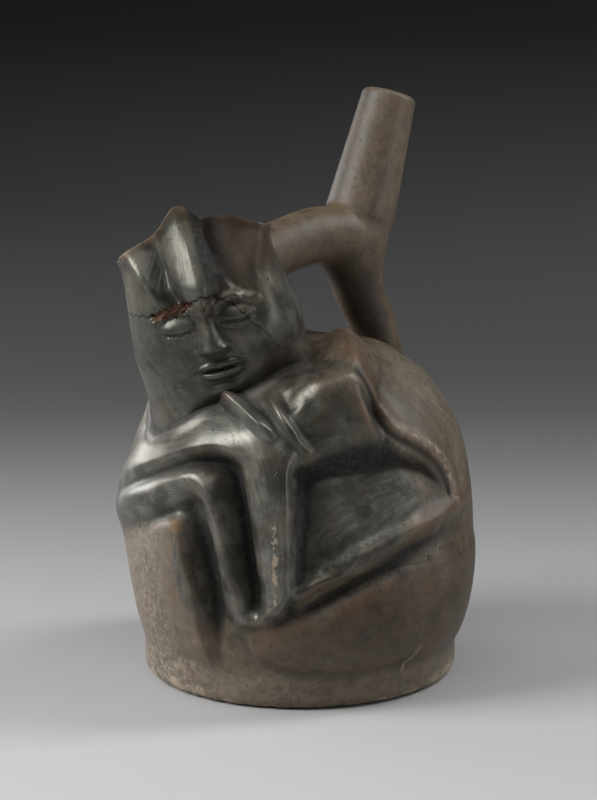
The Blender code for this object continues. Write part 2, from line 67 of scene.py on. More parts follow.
def wall_normal(climb):
    """Outward and upward parts of the plain wall's normal."""
    (r0, z0), (r1, z1) = wall_profile(climb - 0.02), wall_profile(climb + 0.02)
    length = np.hypot(r1 - r0, z1 - z0)
    return (z1 - z0) / length, (r0 - r1) / length


def on_wall(turn, climb, lift):
    """Points in millimetres at a lift over the plain wall."""
    radius, height = wall_profile(climb)
    out, up = wall_normal(climb)
    radius = np.maximum(radius + lift * out, 0.0)
    angle = np.radians(turn)
    return np.stack([radius * np.sin(angle), -radius * np.cos(angle), height + lift * up], axis=-1)


def ease(value, low, high):
    """Nothing below low, one above high, and a smooth change between them."""
    share = np.clip((value - low) / (high - low), 0.0, 1.0)
    return share * share * (3.0 - 2.0 * share)


def fade(value, low, high):
    """One below low and nothing above high."""
    return 1 - ease(value, low, high)


def smooth_line(route, steps=14):
    """A smooth line through rows of numbers, in even steps between neighbours."""
    rows = np.array(route, dtype=float)
    slopes = np.gradient(rows, axis=0)
    t = np.linspace(0.0, len(rows) - 1.0, (len(rows) - 1) * steps + 1)
    k = np.minimum(t.astype(int), len(rows) - 2)
    s = (t - k)[:, None]
    return ((2 * s ** 3 - 3 * s ** 2 + 1) * rows[k] + (s ** 3 - 2 * s ** 2 + s) * slopes[k]
            + (3 * s ** 2 - 2 * s ** 3) * rows[k + 1] + (s ** 3 - s ** 2) * slopes[k + 1])


def stroke(places, line, faces, lift, left, right, crest, foot):
    """Lift that one stroke of the thumb gives to every place, how far out each place is, 1 at the stroke's
    edge, and its run along the stroke and beside it. Left and right are the half widths on either hand of
    the travel, seen from outside."""
    shape = places.shape[:-1]
    flat = places.reshape(-1, 3)
    reach = max(left.max(), right.max())
    close = np.all((flat > line.min(0) - reach) & (flat < line.max(0) + reach), axis=1)
    spots = flat[close]
    near = ((spots[:, None, :] - line[None, :, :]) ** 2).sum(-1).argmin(1)
    way = np.gradient(line, axis=0)
    way /= np.linalg.norm(way, axis=1, keepdims=True)
    offset = spots - line[near]
    side = (offset * np.cross(faces, way)[near]).sum(1)
    ahead = (offset * way[near]).sum(1)
    past = np.where((near == 0) | (near == len(line) - 1), np.abs(ahead), 0.0)
    out = np.hypot(side, past) / np.where(side > 0, left[near], right[near])
    walked = np.concatenate([[0.0], np.cumsum(np.linalg.norm(np.diff(line, axis=0), axis=1))])
    raised, edge, lay = np.zeros(len(flat)), np.full(len(flat), 9.0), np.zeros((len(flat), 2))
    raised[close] = lift[near] * (1.0 - np.clip(out, 0.0, 1.0) ** crest) ** foot
    edge[close] = out
    lay[close] = np.stack([walked[near] + ahead, side], axis=-1)
    return raised.reshape(shape), edge.reshape(shape), lay.reshape(*shape, 2)


far_step, near_step = 1.5, 0.625
turns = np.concatenate([np.arange(-180.0, -52.5, far_step), np.arange(-52.5, 142.5, near_step),
                        np.arange(142.5, 180.1, far_step)])
climbs = np.concatenate([np.linspace(0.0, slab_height, 9), np.arange(slab_height + 0.8, 112.0, 0.8),
                         np.linspace(112.4, pole_climb, 60)])
climb, turn = np.meshgrid(climbs, turns, indexing='ij')
plain = on_wall(turn, climb, 0.0)


def on_skin(route, crest=2.0, foot=1.5):
    """A stroke along the wall; each row is turn, climb, lift and the half width, or two of them, left and
    right of the travel."""
    line = smooth_line([(*place, place[-1])[:5] for place in route])
    out, up = wall_normal(line[:, 1])
    angle = np.radians(line[:, 0])
    faces = np.stack([out * np.sin(angle), -out * np.cos(angle), up], axis=-1)
    return stroke(plain, on_wall(line[:, 0], line[:, 1], 0.0), faces, *line[:, 2:].T, crest, foot)


def swell(rise, at_turn, wide, at_climb, tall):
    """A round swelling of the wall, or a round spot on it."""
    return rise * np.exp(-((turn - at_turn) / wide) ** 2 - ((climb - at_climb) / tall) ** 2)


def blend_max(first, second, soft=1.2):
    """The higher of two lifts, with a soft valley between them."""
    both = (first > 0.05) & (second > 0.05)
    close = np.clip(soft - np.abs(first - second), 0.0, None)
    return np.maximum(first, second) + close ** 2 / (4 * soft) * both


lift = 0.22 * np.sin(np.radians(3 * turn) + climb / 19) + 0.18 * np.sin(np.radians(5 * turn) - climb / 13)
lift += 0.12 * np.sin(np.radians(11 * turn) + climb / 7)
for chest_or_hip in ((3.4, 33, 11, 99, 10), (2.0, -44, 14, 63, 13), (2.4, -38, 15, 106, 10),
                     (6.0, 50, 11, 122, 8)):
    lift += swell(*chest_or_hip)

# Right lower leg: a flat pad of clay left of an arris, pressed on the wall and cut square under the knee.
# A deep groove, drawn down with the thumb, parts it from the shin.
arris = np.interp(climb, (28, 38, 48, 58, 66), (13.6, 12.8, 11.2, 7.4, 3.8))
from_arris = turn - arris
panel_top = np.interp(turn, (-60, -31, -10, 3), (50, 56, 61, 65.5))
panel = np.interp(from_arris, (-85, -60, -47, -33, -18, -8, -2.5, 0, 1.2, 3.5),
                  (0, 0.2, 0.5, 0.3, 0.9, 2.6, 4.2, 4.7, 3.4, 0))
lift += panel * ease(climb, 10, 26) * fade(climb, panel_top - 1.2, panel_top + 0.8)
groove, groove_edge, groove_lay = on_skin((
    (6.5, 71, -1.5, 6, 3.5), (11, 62, -5.2, 7, 5), (14, 55.5, -6.4, 6.6, 5), (15.8, 45.5, -6.2, 6.4, 5),
    (16.8, 36, -4.4, 6.2, 5), (17, 28, -1.2, 6, 5)))
lift += groove

# Right knee, shin and collar: coils of clay luted on the wall. The knee comes round from the side, bends and
# runs down as the shin; the collar slopes over it under the chin, and a valley is pressed in between them.
knee, knee_edge, knee_lay = on_skin((
    (-70, 50, 0.6, 6, 8), (-48, 57, 1.8, 6.5, 9), (-32, 62.5, 3.4, 6.8, 9.5), (-10, 70.6, 4.6, 7.2, 10),
    (3, 77, 5.2, 7.2, 9), (10, 79, 5.0, 6.8, 8), (15, 77.5, 4.4, 6, 7)), 2.0, 1.0)
shin, shin_edge, shin_lay = on_skin((
    (11, 79, 4.8, 5, 6), (16, 75.5, 5.2, 5, 6), (20, 66.5, 5.0, 4.6, 6), (22.3, 58.5, 4.7, 4.4, 6),
    (25, 51, 4.2, 4.2, 6), (26.5, 41, 3.4, 4, 6), (27, 33, 1.4, 4, 5)), 1.8, 1.1)
lift += blend_max(knee, shin)
lift += on_skin((
    (-36, 66.4, -0.4, 3, 2.6), (-20, 72.8, -1.3, 3.2, 2.8), (-4, 79.8, -2.6, 3.4, 3.0),
    (9, 85.6, -3.8, 3.6, 3.4), (16.5, 87.2, -5.2, 3.8, 4.0), (21.6, 84.4, -6.6, 4.2, 4.4),
    (24.2, 77.6, -7.6, 4.6, 4.4), (27, 67.4, -7.2, 4.6, 4.2), (28.8, 59, -6.6, 4.2, 4),
    (30.5, 52, -5.8, 3.9, 3.6), (31.7, 44, -4.2, 3.5, 3.2), (32.2, 38, -1.0, 3.3, 3)))[0]
collar, collar_edge, collar_lay = on_skin((
    (-52, 62, 0.4, 10, 3.2), (-40, 65.6, 1.8, 13, 3.0), (-28, 70.4, 3.4, 17, 2.8),
    (-10, 78.8, 4.6, 20, 2.8), (8, 87.4, 4.6, 20, 3.0), (17, 90.4, 4.0, 18, 3.6), (26, 91.2, 2.8, 14, 5),
    (34, 88, 1.3, 9, 6), (39.5, 80, 0.2, 7, 6)), 1.7, 1.1)
lift += collar

# Lap panel: a broad pillar of clay that comes down from the chest and turns a hard edge to the hollow beside
# it. The tip of the foot is pinched out under it.
pillar, pillar_edge, pillar_lay = on_skin((
    (31, 108, 0.1, 9, 12), (35.5, 101, 0.9, 9, 14), (38.8, 94.5, 2.6, 8, 16), (40.6, 88, 4.6, 6, 17.5),
    (41.6, 80, 6.2, 4.2, 17.5), (42.4, 67, 6.8, 3.2, 16), (42.4, 57, 6.8, 3.2, 14),
    (41.4, 49, 6.0, 3.6, 11.5), (38.5, 43, 4.0, 4.5, 8)), 2.2, 1.05)
lift += pillar
lift += on_skin(((26.5, 36.2, 0.8, 3.4, 3.4), (30.5, 36.6, 3.4, 3.8, 3.6), (35, 38.2, 3.8, 3.8, 3.6),
                 (39.5, 41.2, 2.2, 3.4, 3.4)), 2.0, 1.2)[0]

# Left forearm: a band of clay luted along the thigh's upper edge, with a crease under it. Above it the wall
# is pushed in as a hollow, with a floor that slopes back from the band, an overhanging roof and a drawn-out
# far end.
edge_line = np.interp(turn, (38, 44, 56, 69, 84, 103, 112), (42, 46.5, 54.4, 58.3, 62.2, 65.5, 66))
deep_line = np.interp(turn, (40, 53, 63, 75, 87, 95, 104), (82, 84.2, 84.2, 84.2, 84.4, 80, 71))
roof_line = np.interp(turn, (40, 50, 56, 62, 72, 79, 82, 87, 94, 100, 104),
                      (87, 91, 97, 101, 103, 102, 97, 93, 87.4, 81, 73))
hollow_depth = np.interp(turn, (42.8, 44.4, 46.4, 49, 58, 74, 88, 97, 104),
                         (0, 5.6, 9.6, 10.4, 10.0, 8.8, 6.4, 3.8, 0))
floor_share = np.clip((climb - edge_line) / (deep_line - edge_line), 0, 1)
roof_share = np.clip((climb - deep_line) / np.maximum(roof_line - deep_line, 1.0), 0, 1)
hollow = hollow_depth * np.where(climb < deep_line, floor_share ** 0.8, (1 - roof_share) ** 1.5)
lift -= hollow
forearm, forearm_edge, _ = on_skin((
    (42, 45, 1.6, 3.6, 3.6), (47, 48.6, 2.8, 4, 3.8), (56, 54.2, 3.4, 4.2, 3.8), (69, 58.3, 3.6, 4.2, 3.8),
    (84, 62.2, 3.6, 4.2, 3.8), (96, 64.6, 3.2, 4.2, 3.8), (104, 65.6, 2.4, 4.2, 3.8),
    (114, 66.4, 1.2, 4.2, 3.8), (124, 66.6, 0.4, 4, 4)), 1.7, 1.2)
under_forearm = on_skin((
    (45, 38.6, -0.8, 2.4), (52, 42.8, -2.0, 2.6), (62, 49.0, -2.6, 2.8), (72, 53.4, -2.6, 2.8),
    (84, 56.8, -2.2, 2.8), (98, 58.8, -1.3, 2.8), (112, 59.5, -0.4, 2.8)))[0]
lift += forearm + under_forearm

# Left thigh: a full swelling of clay along the foot of the wall, pressed out of the mould and creased above
# and below. The right thigh and forearm, on the far side, are the same things kept plain.
thigh_top = np.interp(turn, (28, 36, 44, 51, 62, 72, 84, 98, 115, 135, 165),
                      (33, 37, 39, 41, 47.5, 52, 55, 57, 57.5, 55, 48))
thigh_foot = np.interp(turn, (28, 31, 39, 48, 60, 76, 88, 124, 165),
                       (27, 21, 17, 15, 14.4, 15, 15, 13.5, 18))
thigh_swell = np.interp(turn, (27, 31, 36, 45, 60, 80, 100, 118, 134, 152),
                        (0, 2.4, 3.8, 4.8, 5.4, 5.6, 4.6, 2.8, 1.4, 0))
thigh_share = np.clip((climb - thigh_foot) / (thigh_top - thigh_foot), 0, 1)
thigh = thigh_swell * (4 * thigh_share * (1 - thigh_share)) ** 0.6
lift += thigh
far_thigh, far_thigh_edge, _ = on_skin((
    (-64, 31, 1.0, 8, 9), (-74, 32, 4.2, 11, 12), (-88, 33.5, 6.0, 16, 16), (-106, 34.5, 6.2, 18, 18),
    (-124, 33, 4.0, 15, 15), (-138, 32, 1.0, 11, 11)), 2.0, 1.0)
far_forearm, far_forearm_edge, _ = on_skin((
    (-66, 55.5, 1.2, 4), (-74, 57.8, 3.4, 4.4), (-84, 59.6, 4.0, 4.4), (-98, 61, 3.6, 4.4),
    (-116, 63, 1.2, 4)), 1.8, 1.1)
lift += far_thigh + far_forearm

# Left hand and rod: a lump of clay whose shoulder, sleeve and elbow are three pinched ridges that meet at
# one point, with a cuff, and a thin rolled rod that is luted between the cuff and the mouth.
shoulder, shoulder_edge, shoulder_lay = on_skin((
    (104, 153, 3.0, 14, 12), (93, 150, 8.6, 15, 13), (84, 146.5, 10.6, 15, 13), (75, 133, 10.8, 14, 13),
    (65.5, 118, 11.4, 10, 11)), 1.5, 1.35)
sleeve, sleeve_edge, sleeve_lay = on_skin((
    (66.5, 119, 12.0, 14, 10), (60, 115.5, 10.4, 15, 10), (54, 112.6, 7.6, 15, 10),
    (49.5, 111, 5.2, 14, 9)), 1.8)
elbow, elbow_edge, elbow_lay = on_skin((
    (65, 119, 11.2, 6, 13), (67, 114.5, 10.6, 5.4, 13), (69.5, 108, 8.2, 5.0, 12),
    (72, 101.5, 4.8, 4.6, 10), (74.5, 96, 1.6, 4.4, 7)), 1.6, 1.35)
cuff, cuff_edge, cuff_lay = on_skin((
    (32.5, 117.5, 2.0, 2.8), (34.8, 113.8, 4.6, 3.0), (38, 108, 5.6, 3.0), (41, 102.8, 5.2, 3.0),
    (45.5, 96.4, 3.4, 2.8), (49, 91, 0.8, 2.6)), 2.0, 1.3)
hand = blend_max(blend_max(blend_max(shoulder, sleeve), elbow), cuff)
lift += hand
rod, rod_edge, rod_lay = on_skin((
    (12, 116, 4.5, 2.5), (17, 112.8, 6.2, 2.6), (23, 109.2, 6.2, 2.6), (29, 104.4, 5.8, 2.6),
    (33.5, 100.4, 4.6, 2.5), (36, 98.2, 2.6, 2.2)), 2.4, 0.75)
lift += rod

# Edges of the skin: the cape's lip stands over a ragged crease, a roll of clay seats the head, and a low
# mound takes the foot of the rear limb. All are pressed out of the wall with wet fingers.
cape_crease, crease_edge, _ = on_skin((
    (71, 122, -1.0, 1.5, 1.6), (75, 116, -2.2, 1.5, 1.6), (77.5, 109, -2.6, 1.5, 1.6),
    (79, 103, -2.4, 1.4, 1.6), (82, 97, -2.0, 1.3, 1.6), (87, 93, -1.8, 1.3, 1.6),
    (94, 87.4, -1.8, 1.3, 1.6), (100, 81, -1.8, 1.3, 1.6), (104, 73.5, -1.5, 1.3, 1.5),
    (104.6, 69, -0.6, 1.3, 1.5)), 2.0, 1.3)
cape_lip, cape_edge, _ = on_skin((
    (73.6, 124, 0.5, 7, 2.0), (77.4, 115.8, 1.3, 7, 1.9), (79.9, 108.2, 1.8, 7, 1.8),
    (81.4, 102.8, 2.0, 7, 1.8), (84.4, 98, 2.0, 7, 1.8), (89, 94.4, 2.0, 7, 1.8), (95.6, 88.8, 2.0, 7, 1.8),
    (101.6, 82, 1.9, 7, 1.8), (105.6, 74.2, 1.5, 6, 1.8), (106.4, 68, 0.7, 6, 1.8)), 1.4, 1.2)
ragged = 1 + 0.22 * np.sin(climb * 1.3) * np.sin(turn * 0.9 + 1)
lift += (cape_lip + cape_crease) * (1 - 0.42 * fade(climb, 98, 110)) * ragged
seat_roll, seat_edge, _ = on_skin((
    (-44, 112, 0.6, 7), (-31, 103, 1.6, 7), (-22, 95.6, 2.0, 7), (-16, 92.6, 2.0, 6.5),
    (-10.6, 93.4, 2.0, 6), (-5, 97.4, 1.8, 6), (-0.6, 101.4, 1.6, 6), (4.4, 107, 1.4, 6),
    (10, 112.2, 1.2, 5), (16.9, 117, 1.0, 5), (22.5, 122.6, 1.0, 5), (28.8, 128.6, 1.2, 5),
    (36.2, 134.6, 1.4, 5), (46.2, 139, 1.2, 5), (56, 144, 0.6, 5)))
lift += seat_roll
rear_foot, rear_lean = np.array([0.0, 47.7, dome_height - 25.2]), math.radians(180.0 - 18.0)
rear_axis = np.array([0.0, math.sin(rear_lean), math.cos(rear_lean)])
from_foot = plain - rear_foot
off_axis = np.linalg.norm(from_foot - (from_foot @ rear_axis)[..., None] * rear_axis, axis=-1)
mound = 1.8 * np.exp(-(np.clip(off_axis - 8.4, 0, None) / 2.6) ** 2)
lift += mound * (np.abs(turn) > 110) * ease(climb, 90, 100)
lift *= ease(climb, 0.5, 9) * fade(climb, pole_climb - 9, pole_climb - 1)


def soften(field, rounds):
    """Blurs a field over its neighbours."""
    for _ in range(rounds):
        for axis in (0, 1):
            field = (np.roll(field, 1, axis) + 2 * field + np.roll(field, -1, axis)) / 4
    return field


def sheet_normals(points):
    """Outward unit normals of a sheet of points, rows up and columns to the right, closed round its side."""
    normals = np.cross(np.gradient(points, axis=1), np.gradient(points, axis=0))
    normals /= np.maximum(np.linalg.norm(normals, axis=-1, keepdims=True), 1e-9)
    normals[:, 0] = normals[:, -1] = (normals[:, 0] + normals[:, -1]) / 2
    return normals


lift = soften(lift, 4)
skin = on_wall(turn, climb, lift)
skin_normals = sheet_normals(skin)
skin_normals[-1] = (0.0, 0.0, 1.0)

# Finish of the skin: the front of the figure is burnished with a pebble to graphite grey, and the rest is a
# satin brown slip. Edges are worn, hollows and creases are darkened with painted shade, with soot under the
# hollow's roof, and pale earth clings to the plinth, the low panel and the flaked edges.
proud = soften(lift, 3) - soften(lift, 14)
worn = np.clip(proud * 1.7 - 0.15, 0, 1)
for kept_edge in (pillar_edge, shin_edge, knee_edge, collar_edge, forearm_edge):
    worn *= 0.15 + 0.85 * ease(kept_edge, 0.9, 1.15)
worn *= 1 - 0.65 * np.exp(-(from_arris / 5) ** 2) * (climb < panel_top - 4)
# Painted highlight and wear: the elbow's right edge is painted pale red-brown, part real wear and part a
# painted highlight.
worn = np.maximum(worn, 0.75 * fade(elbow_edge, 0.06, 0.34) * ease(climb, 99, 105))

burnish_right = np.interp(climb, (40, 62, 69, 73.5, 81, 87.4, 93, 97, 103, 109, 116, 124, 135, 150),
                          (58, 86, 91, 91, 89, 87, 83, 80, 79, 77, 75, 72, 66, 58))
burnish_low = np.interp(turn, (-60, -31, -10, 3, 6, 14, 30, 44, 47, 56, 69, 84, 103),
                        (52, 57, 62, 66, 42, 34, 36, 42, 48, 53, 57, 61, 65))
burnish_left = np.interp(climb, (60, 80, 90, 98, 110), (-54, -48, -37, -26, -16))
burnish = ease(turn, burnish_left - 8, burnish_left + 8) * fade(turn, burnish_right - 5, burnish_right + 4)
burnish *= ease(climb, burnish_low - 5, burnish_low + 4) * fade(climb, 128, 148)
burnish *= 1 - 0.42 * ease(hand, 3, 7)
warmth = np.clip(1.2 * (1 - np.clip(forearm_edge, 0, 1)) + 0.45 * ease(thigh, 0.5, 4)
                 + 0.5 * ease(hand, 6, 10) + 0.9 * fade(cape_edge, 0.5, 1.1), 0, 1)

crust = (0.18 + 0.14 * fade(turn, 40, 60)) * fade(climb, 11, 18) + 0.22 * fade(climb, 14, 44)
crust += 0.84 * ease(-turn, -10, 12) * fade(-turn, 36, 86) * fade(climb, 60, 70)
crust = np.minimum(crust, 0.92)
for clot, spread, top, rise in (
        (-38, 7, 5, 0.6), (-23, 4, 6, 0.6), (-5, 4, 6, 0.7), (7, 5, 8, 0.8), (19, 4, 4, 0.75),
        (33, 5, 2.5, 0.6), (50, 7, 2, 0.6), (66, 4, 2.5, 0.8), (78, 5, 4, 1.0), (91, 5, 5, 1.05),
        (104, 5, 7, 1.15), (117, 7, 9, 1.2), (150, 14, 6, 0.8), (-120, 20, 6, 0.7)):
    crust += rise * np.exp(-((turn - clot) / spread) ** 2) * fade(climb, top * 0.4, top)
scratch_edge = on_skin(((85.4, 11.5, 0.0, 0.8), (87, 17, 0.0, 0.9), (89.4, 23, 0.0, 0.7)))[1]
crust += swell(0.6, 5, 5, 14.5, 2.4) + fade(scratch_edge, 0.3, 1.0)
crust += 1.12 * np.exp(-((turn - 38.6) / 2.2) ** 2) * ease(climb, 36, 46) * fade(climb, 66, 76)
flaked = fade(cape_edge, 0.35, 0.95) * ease(turn, 76, 83) * fade(climb, 99, 106)
under_roof = np.exp(-((turn - 86) / 5) ** 2 - ((climb - roof_line + 3.6) / 2.6) ** 2)
flaked = np.maximum(flaked, 0.9 * under_roof * ease(roof_line - climb, -0.6, 0.4))
crust += 1.16 * flaked * (0.72 + 0.28 * np.sin(climb * 0.8 + 1) * np.sin(turn * 0.7))
crust += swell(0.4, 33, 4, 38, 3)
crust += 0.35 * np.exp(-((turn - 96) / 2.5) ** 2) * ease(climb, 40, 46) * fade(climb, 62, 70)
crust += 0.3 * ease(hand, 2, 5) * fade(climb, 112, 122)
crust += 0.6 * ease(turn, 98, 122) * fade(turn, 130, 174) * ease(climb, 66, 90) * fade(climb, 130, 150)

# Painted shade and soot: the hollow's roof is darkened as black flaking deposit and as painted shade under
# the overhang, and the hollow beside the pillar gets a painted shadow.
roof_soot_and_shade = fade(roof_share, 0.4, 0.85) * ease(hollow, 0.8, 2.5) * ease(climb - deep_line, -1.2, 0.0)
roof_soot_and_shade = roof_soot_and_shade * (1 - 0.75 * flaked)
pillar_shadow = ease(turn, 45, 47) * fade(turn, 48, 60) * ease(hollow, 2, 6)
roof_soot_and_shade = np.maximum(roof_soot_and_shade, 0.8 * pillar_shadow * (climb < deep_line))
# Painted shade: the crease mask darkens every hollow of the lift, the line under the cape's lip, a ring
# round the head's seat as the shadow under the jaw, and a soft patch on the chest that dims its highlight.
crease = np.clip(-proud * 1.7 - 0.10, 0, 1) + roof_soot_and_shade + 0.8 * fade(crease_edge, 0.5, 1.1)
crease = np.clip(crease + 0.75 * fade(seat_edge, 0.1, 0.75) + swell(0.32, -2, 15, 93, 10), 0, 1)

round_wall = np.radians(np.interp(turn, (-180, -100, 140, 180), (60, -100, 140, 60))) * belly_radius
lay = np.stack([round_wall * 0.94 + climb * 0.34, climb * 0.94 - round_wall * 0.34], axis=-1)
down_panel = np.stack([climb + 700, np.radians(turn) * belly_radius], axis=-1)
lay = np.where(((from_arris < 4) & (climb < panel_top))[..., None], down_panel, lay)
rubbed = ((groove_edge, groove_lay), (collar_edge, collar_lay), (knee_edge, knee_lay),
          (pillar_edge, pillar_lay), (shin_edge, shin_lay), (shoulder_edge, shoulder_lay),
          (sleeve_edge, sleeve_lay), (elbow_edge, elbow_lay), (cuff_edge, cuff_lay), (rod_edge, rod_lay))
for count, (rubbed_edge, rubbed_lay) in enumerate(rubbed):
    lay = np.where((rubbed_edge < 1.0)[..., None], rubbed_lay + 40.0 * (count + 1), lay)
lay = np.concatenate([lay, (0.4 + 0.6 * burnish)[..., None]], axis=-1)
skin_masks = {"burnish": burnish, "worn": worn, "crease": crease, "warmth": warmth, "crust": crust,
              "raw": np.zeros_like(turn), "lay": lay}


# Fired clay: a mottled brown slip with fine grain, and grey where a pebble rubbed it, with the strokes of
# the pebble along each limb. Each piece carries masks for burnish, wear, painted shade with soot, warmth,
# earth and raw breaks, and the lay of its strokes, whose third number is their vigour.
def add_node(tree, kind, **settings):
    """A new node with its settings."""
    made = tree.nodes.new(kind)
    for key, value in settings.items():
        setattr(made, key, value)
    return made


def feed(socket, value):
    """Gives a socket a link from another one, a colour or a number."""
    if isinstance(value, bpy.types.NodeSocket):
        socket.id_data.links.new(value, socket)
    else:
        socket.default_value = (*value, 1.0) if isinstance(value, tuple) else value


def clay_noise(where, scale, detail, rough=0.55):
    """Cloudy noise from 0 to 1 over the piece."""
    made = add_node(where.id_data, "ShaderNodeTexNoise")
    for key, value in (("Vector", where), ("Scale", scale), ("Detail", detail), ("Roughness", rough)):
        feed(made.inputs[key], value)
    return made.outputs["Fac"]


def ramp(value, low, high, to_low=0.0, to_high=1.0):
    """Runs smoothly from one number to another while a value runs from low to high."""
    made = add_node(value.id_data, "ShaderNodeMapRange", interpolation_type='SMOOTHSTEP')
    for key, number in (("Value", value), ("From Min", low), ("From Max", high), ("To Min", to_low),
                        ("To Max", to_high)):
        feed(made.inputs[key], number)
    return made.outputs["Result"]


def reckon(kind, *values):
    """One step of arithmetic on sockets and numbers."""
    tree = next(value.id_data for value in values if isinstance(value, bpy.types.NodeSocket))
    made = add_node(tree, "ShaderNodeMath", operation=kind)
    for socket, value in zip(made.inputs, values):
        feed(socket, value)
    return made.outputs[0]


def times(first, second):
    return reckon('MULTIPLY', first, second)


def plus(value, share, base):
    """A share of one value on top of another."""
    return reckon('MULTIPLY_ADD', value, share, base)


def scaled(colour, factor):
    """A colour made lighter or darker by a grey factor."""
    made = add_node(colour.id_data, "ShaderNodeVectorMath", operation='SCALE')
    feed(made.inputs[0], colour)
    feed(made.inputs["Scale"], factor)
    return made.outputs[0]


def mixed(share, first, second, kind='RGBA'):
    """A colour, or a number of kind FLOAT, between two others."""
    made = add_node(share.id_data, "ShaderNodeMix", data_type=kind)
    first_place, result_place = (6, 2) if kind == 'RGBA' else (2, 0)
    for place, value in ((0, share), (first_place, first), (first_place + 1, second)):
        feed(made.inputs[place], value)
    return made.outputs[result_place]


fired_clay = bpy.data.node_groups.new("fired_clay", "ShaderNodeTree")
mask_names = ("Burnish", "Worn", "Crease", "Warmth", "Crust", "Raw", "Lay")
for label in ("Slip", "Burnished") + mask_names:
    kind = {"Slip": 'Color', "Burnished": 'Color', "Lay": 'Vector'}.get(label, 'Float')
    fired_clay.interface.new_socket(label, in_out='INPUT', socket_type='NodeSocket' + kind)
for label in ("Colour", "Roughness", "Sheen", "Height"):
    kind = 'Color' if label == "Colour" else 'Float'
    fired_clay.interface.new_socket(label, in_out='OUTPUT', socket_type='NodeSocket' + kind)
given = {socket.name: socket for socket in add_node(fired_clay, "NodeGroupInput").outputs}
where = add_node(fired_clay, "ShaderNodeTexCoord").outputs["Object"]
blotch = clay_noise(where, 42.0, 5.0, 0.6)
cloud = clay_noise(where, 78.0, 5.0, 0.62)
mottle = clay_noise(where, 210.0, 6.0, 0.65)
grain = clay_noise(where, 1700.0, 3.0)
pitting = clay_noise(where, 620.0, 2.0, 0.4)
flakes = clay_noise(where, 520.0, 6.0, 0.7)
swirl = clay_noise(where, 62.0, 1.0, 0.5).node
curled = add_node(fired_clay, "ShaderNodeVectorMath", operation='MULTIPLY_ADD')
curled.inputs[1].default_value = (8.0, 8.0, 0.0)
feed(curled.inputs[0], swirl.outputs["Color"])
feed(curled.inputs[2], given["Lay"])


def rubbed_noise(along, across):
    """Noise drawn out along the curling strokes of the rubbing pebble."""
    drawn = add_node(fired_clay, "ShaderNodeVectorMath", operation='MULTIPLY')
    drawn.inputs[1].default_value = (along, across, 1.0)
    feed(drawn.inputs[0], curled.outputs[0])
    return clay_noise(drawn.outputs[0], 1.0, 4.0, 0.62)


parted = add_node(fired_clay, "ShaderNodeSeparateXYZ")
feed(parted.inputs[0], given["Lay"])
vigour = parted.outputs["Z"]
sweep = rubbed_noise(0.03, 0.28)
strokes = times(vigour, reckon('SUBTRACT', rubbed_noise(0.07, 1.1), 0.5))
scores = times(ramp(rubbed_noise(0.16, 2.6), 0.63, 0.75, 0.0, 0.45), vigour)

rust_brown, pale_film, red_brown = (0.112, 0.067, 0.037), (0.150, 0.132, 0.104), (0.088, 0.050, 0.028)
earth_dust, sand_grain, smoke_brown = (0.29, 0.246, 0.192), (0.25, 0.19, 0.13), (0.110, 0.076, 0.048)
pale_score, worn_red, shade_and_soot_black = (0.27, 0.235, 0.19), (0.175, 0.108, 0.062), (0.010, 0.009, 0.008)
pit_brown, raw_red, earth_crumb = (0.024, 0.018, 0.014), (0.110, 0.052, 0.032), (0.34, 0.275, 0.20)
slip = scaled(given["Slip"], ramp(blotch, 0.32, 0.68, 0.66, 1.28))
slip = scaled(slip, ramp(mottle, 0.38, 0.66, 0.78, 1.28))
slip = scaled(slip, ramp(flakes, 0.40, 0.64, 1.14, 0.74))
slip = scaled(slip, plus(strokes, -1.9, 0.98))
slip = mixed(ramp(cloud, 0.48, 0.66, 0.0, 0.55), slip, rust_brown)
slip = mixed(times(ramp(cloud, 0.46, 0.33, 0.0, 0.4), ramp(flakes, 0.38, 0.6, 0.3, 1.0)), slip, pale_film)
slip = mixed(times(given["Warmth"], ramp(mottle, 0.3, 0.66, 0.25, 0.9)), slip, red_brown)
slip = mixed(times(given["Crust"], ramp(flakes, 0.35, 0.65, 0.1, 0.8)), slip, earth_dust)
slip = mixed(ramp(flakes, 0.63, 0.69, 0.0, 0.5), slip, sand_grain)
grey = scaled(given["Burnished"], ramp(cloud, 0.36, 0.62, 0.55, 1.25))
grey = scaled(grey, ramp(sweep, 0.34, 0.68, 0.84, 1.16))
grey = scaled(grey, plus(strokes, 1.3, 1.0))
grey = mixed(times(ramp(blotch, 0.46, 0.64, 0.0, 0.5), plus(given["Warmth"], 0.8, 0.6)), grey, smoke_brown)
marks = reckon('MAXIMUM', ramp(flakes, 0.665, 0.70, 0.0, 0.5), scores)
grey = mixed(marks, grey, pale_score)
patchy = plus(strokes, 0.5, plus(mottle, 0.5, 0.25))
rubbed_share = ramp(reckon('ADD', given["Burnish"], plus(patchy, 1.0, -0.5)), 0.25, 0.75)
edge_worn = times(given["Worn"], ramp(patchy, 0.40, 0.58))
# Painted shade: the crease mask, shade in hollows and under things along with some soot, darkens the colour
# to near black.
shade_and_soot_cover = times(given["Crease"], ramp(flakes, 0.42, 0.62, 0.97, 0.8))
pits = ramp(pitting, 0.70, 0.76)
crumbs = plus(flakes, 1.5, times(mottle, 0.9))
cling = ramp(reckon('ADD', given["Crust"], reckon('SUBTRACT', crumbs, 2.2)), 0.0, 0.14)
colour = mixed(rubbed_share, slip, grey)
for cover, paint in ((edge_worn, worn_red), (shade_and_soot_cover, shade_and_soot_black), (times(pits, 0.6), pit_brown),
                     (given["Raw"], raw_red), (times(cling, 0.75), earth_crumb)):
    colour = mixed(cover, colour, paint)
matt = plus(mottle, 0.26, 0.35)
shiny = plus(strokes, 0.20, plus(cloud, 0.22, 0.24))
dull = cling
for mark in (given["Raw"], marks, shade_and_soot_cover, edge_worn):
    dull = reckon('MAXIMUM', dull, mark)
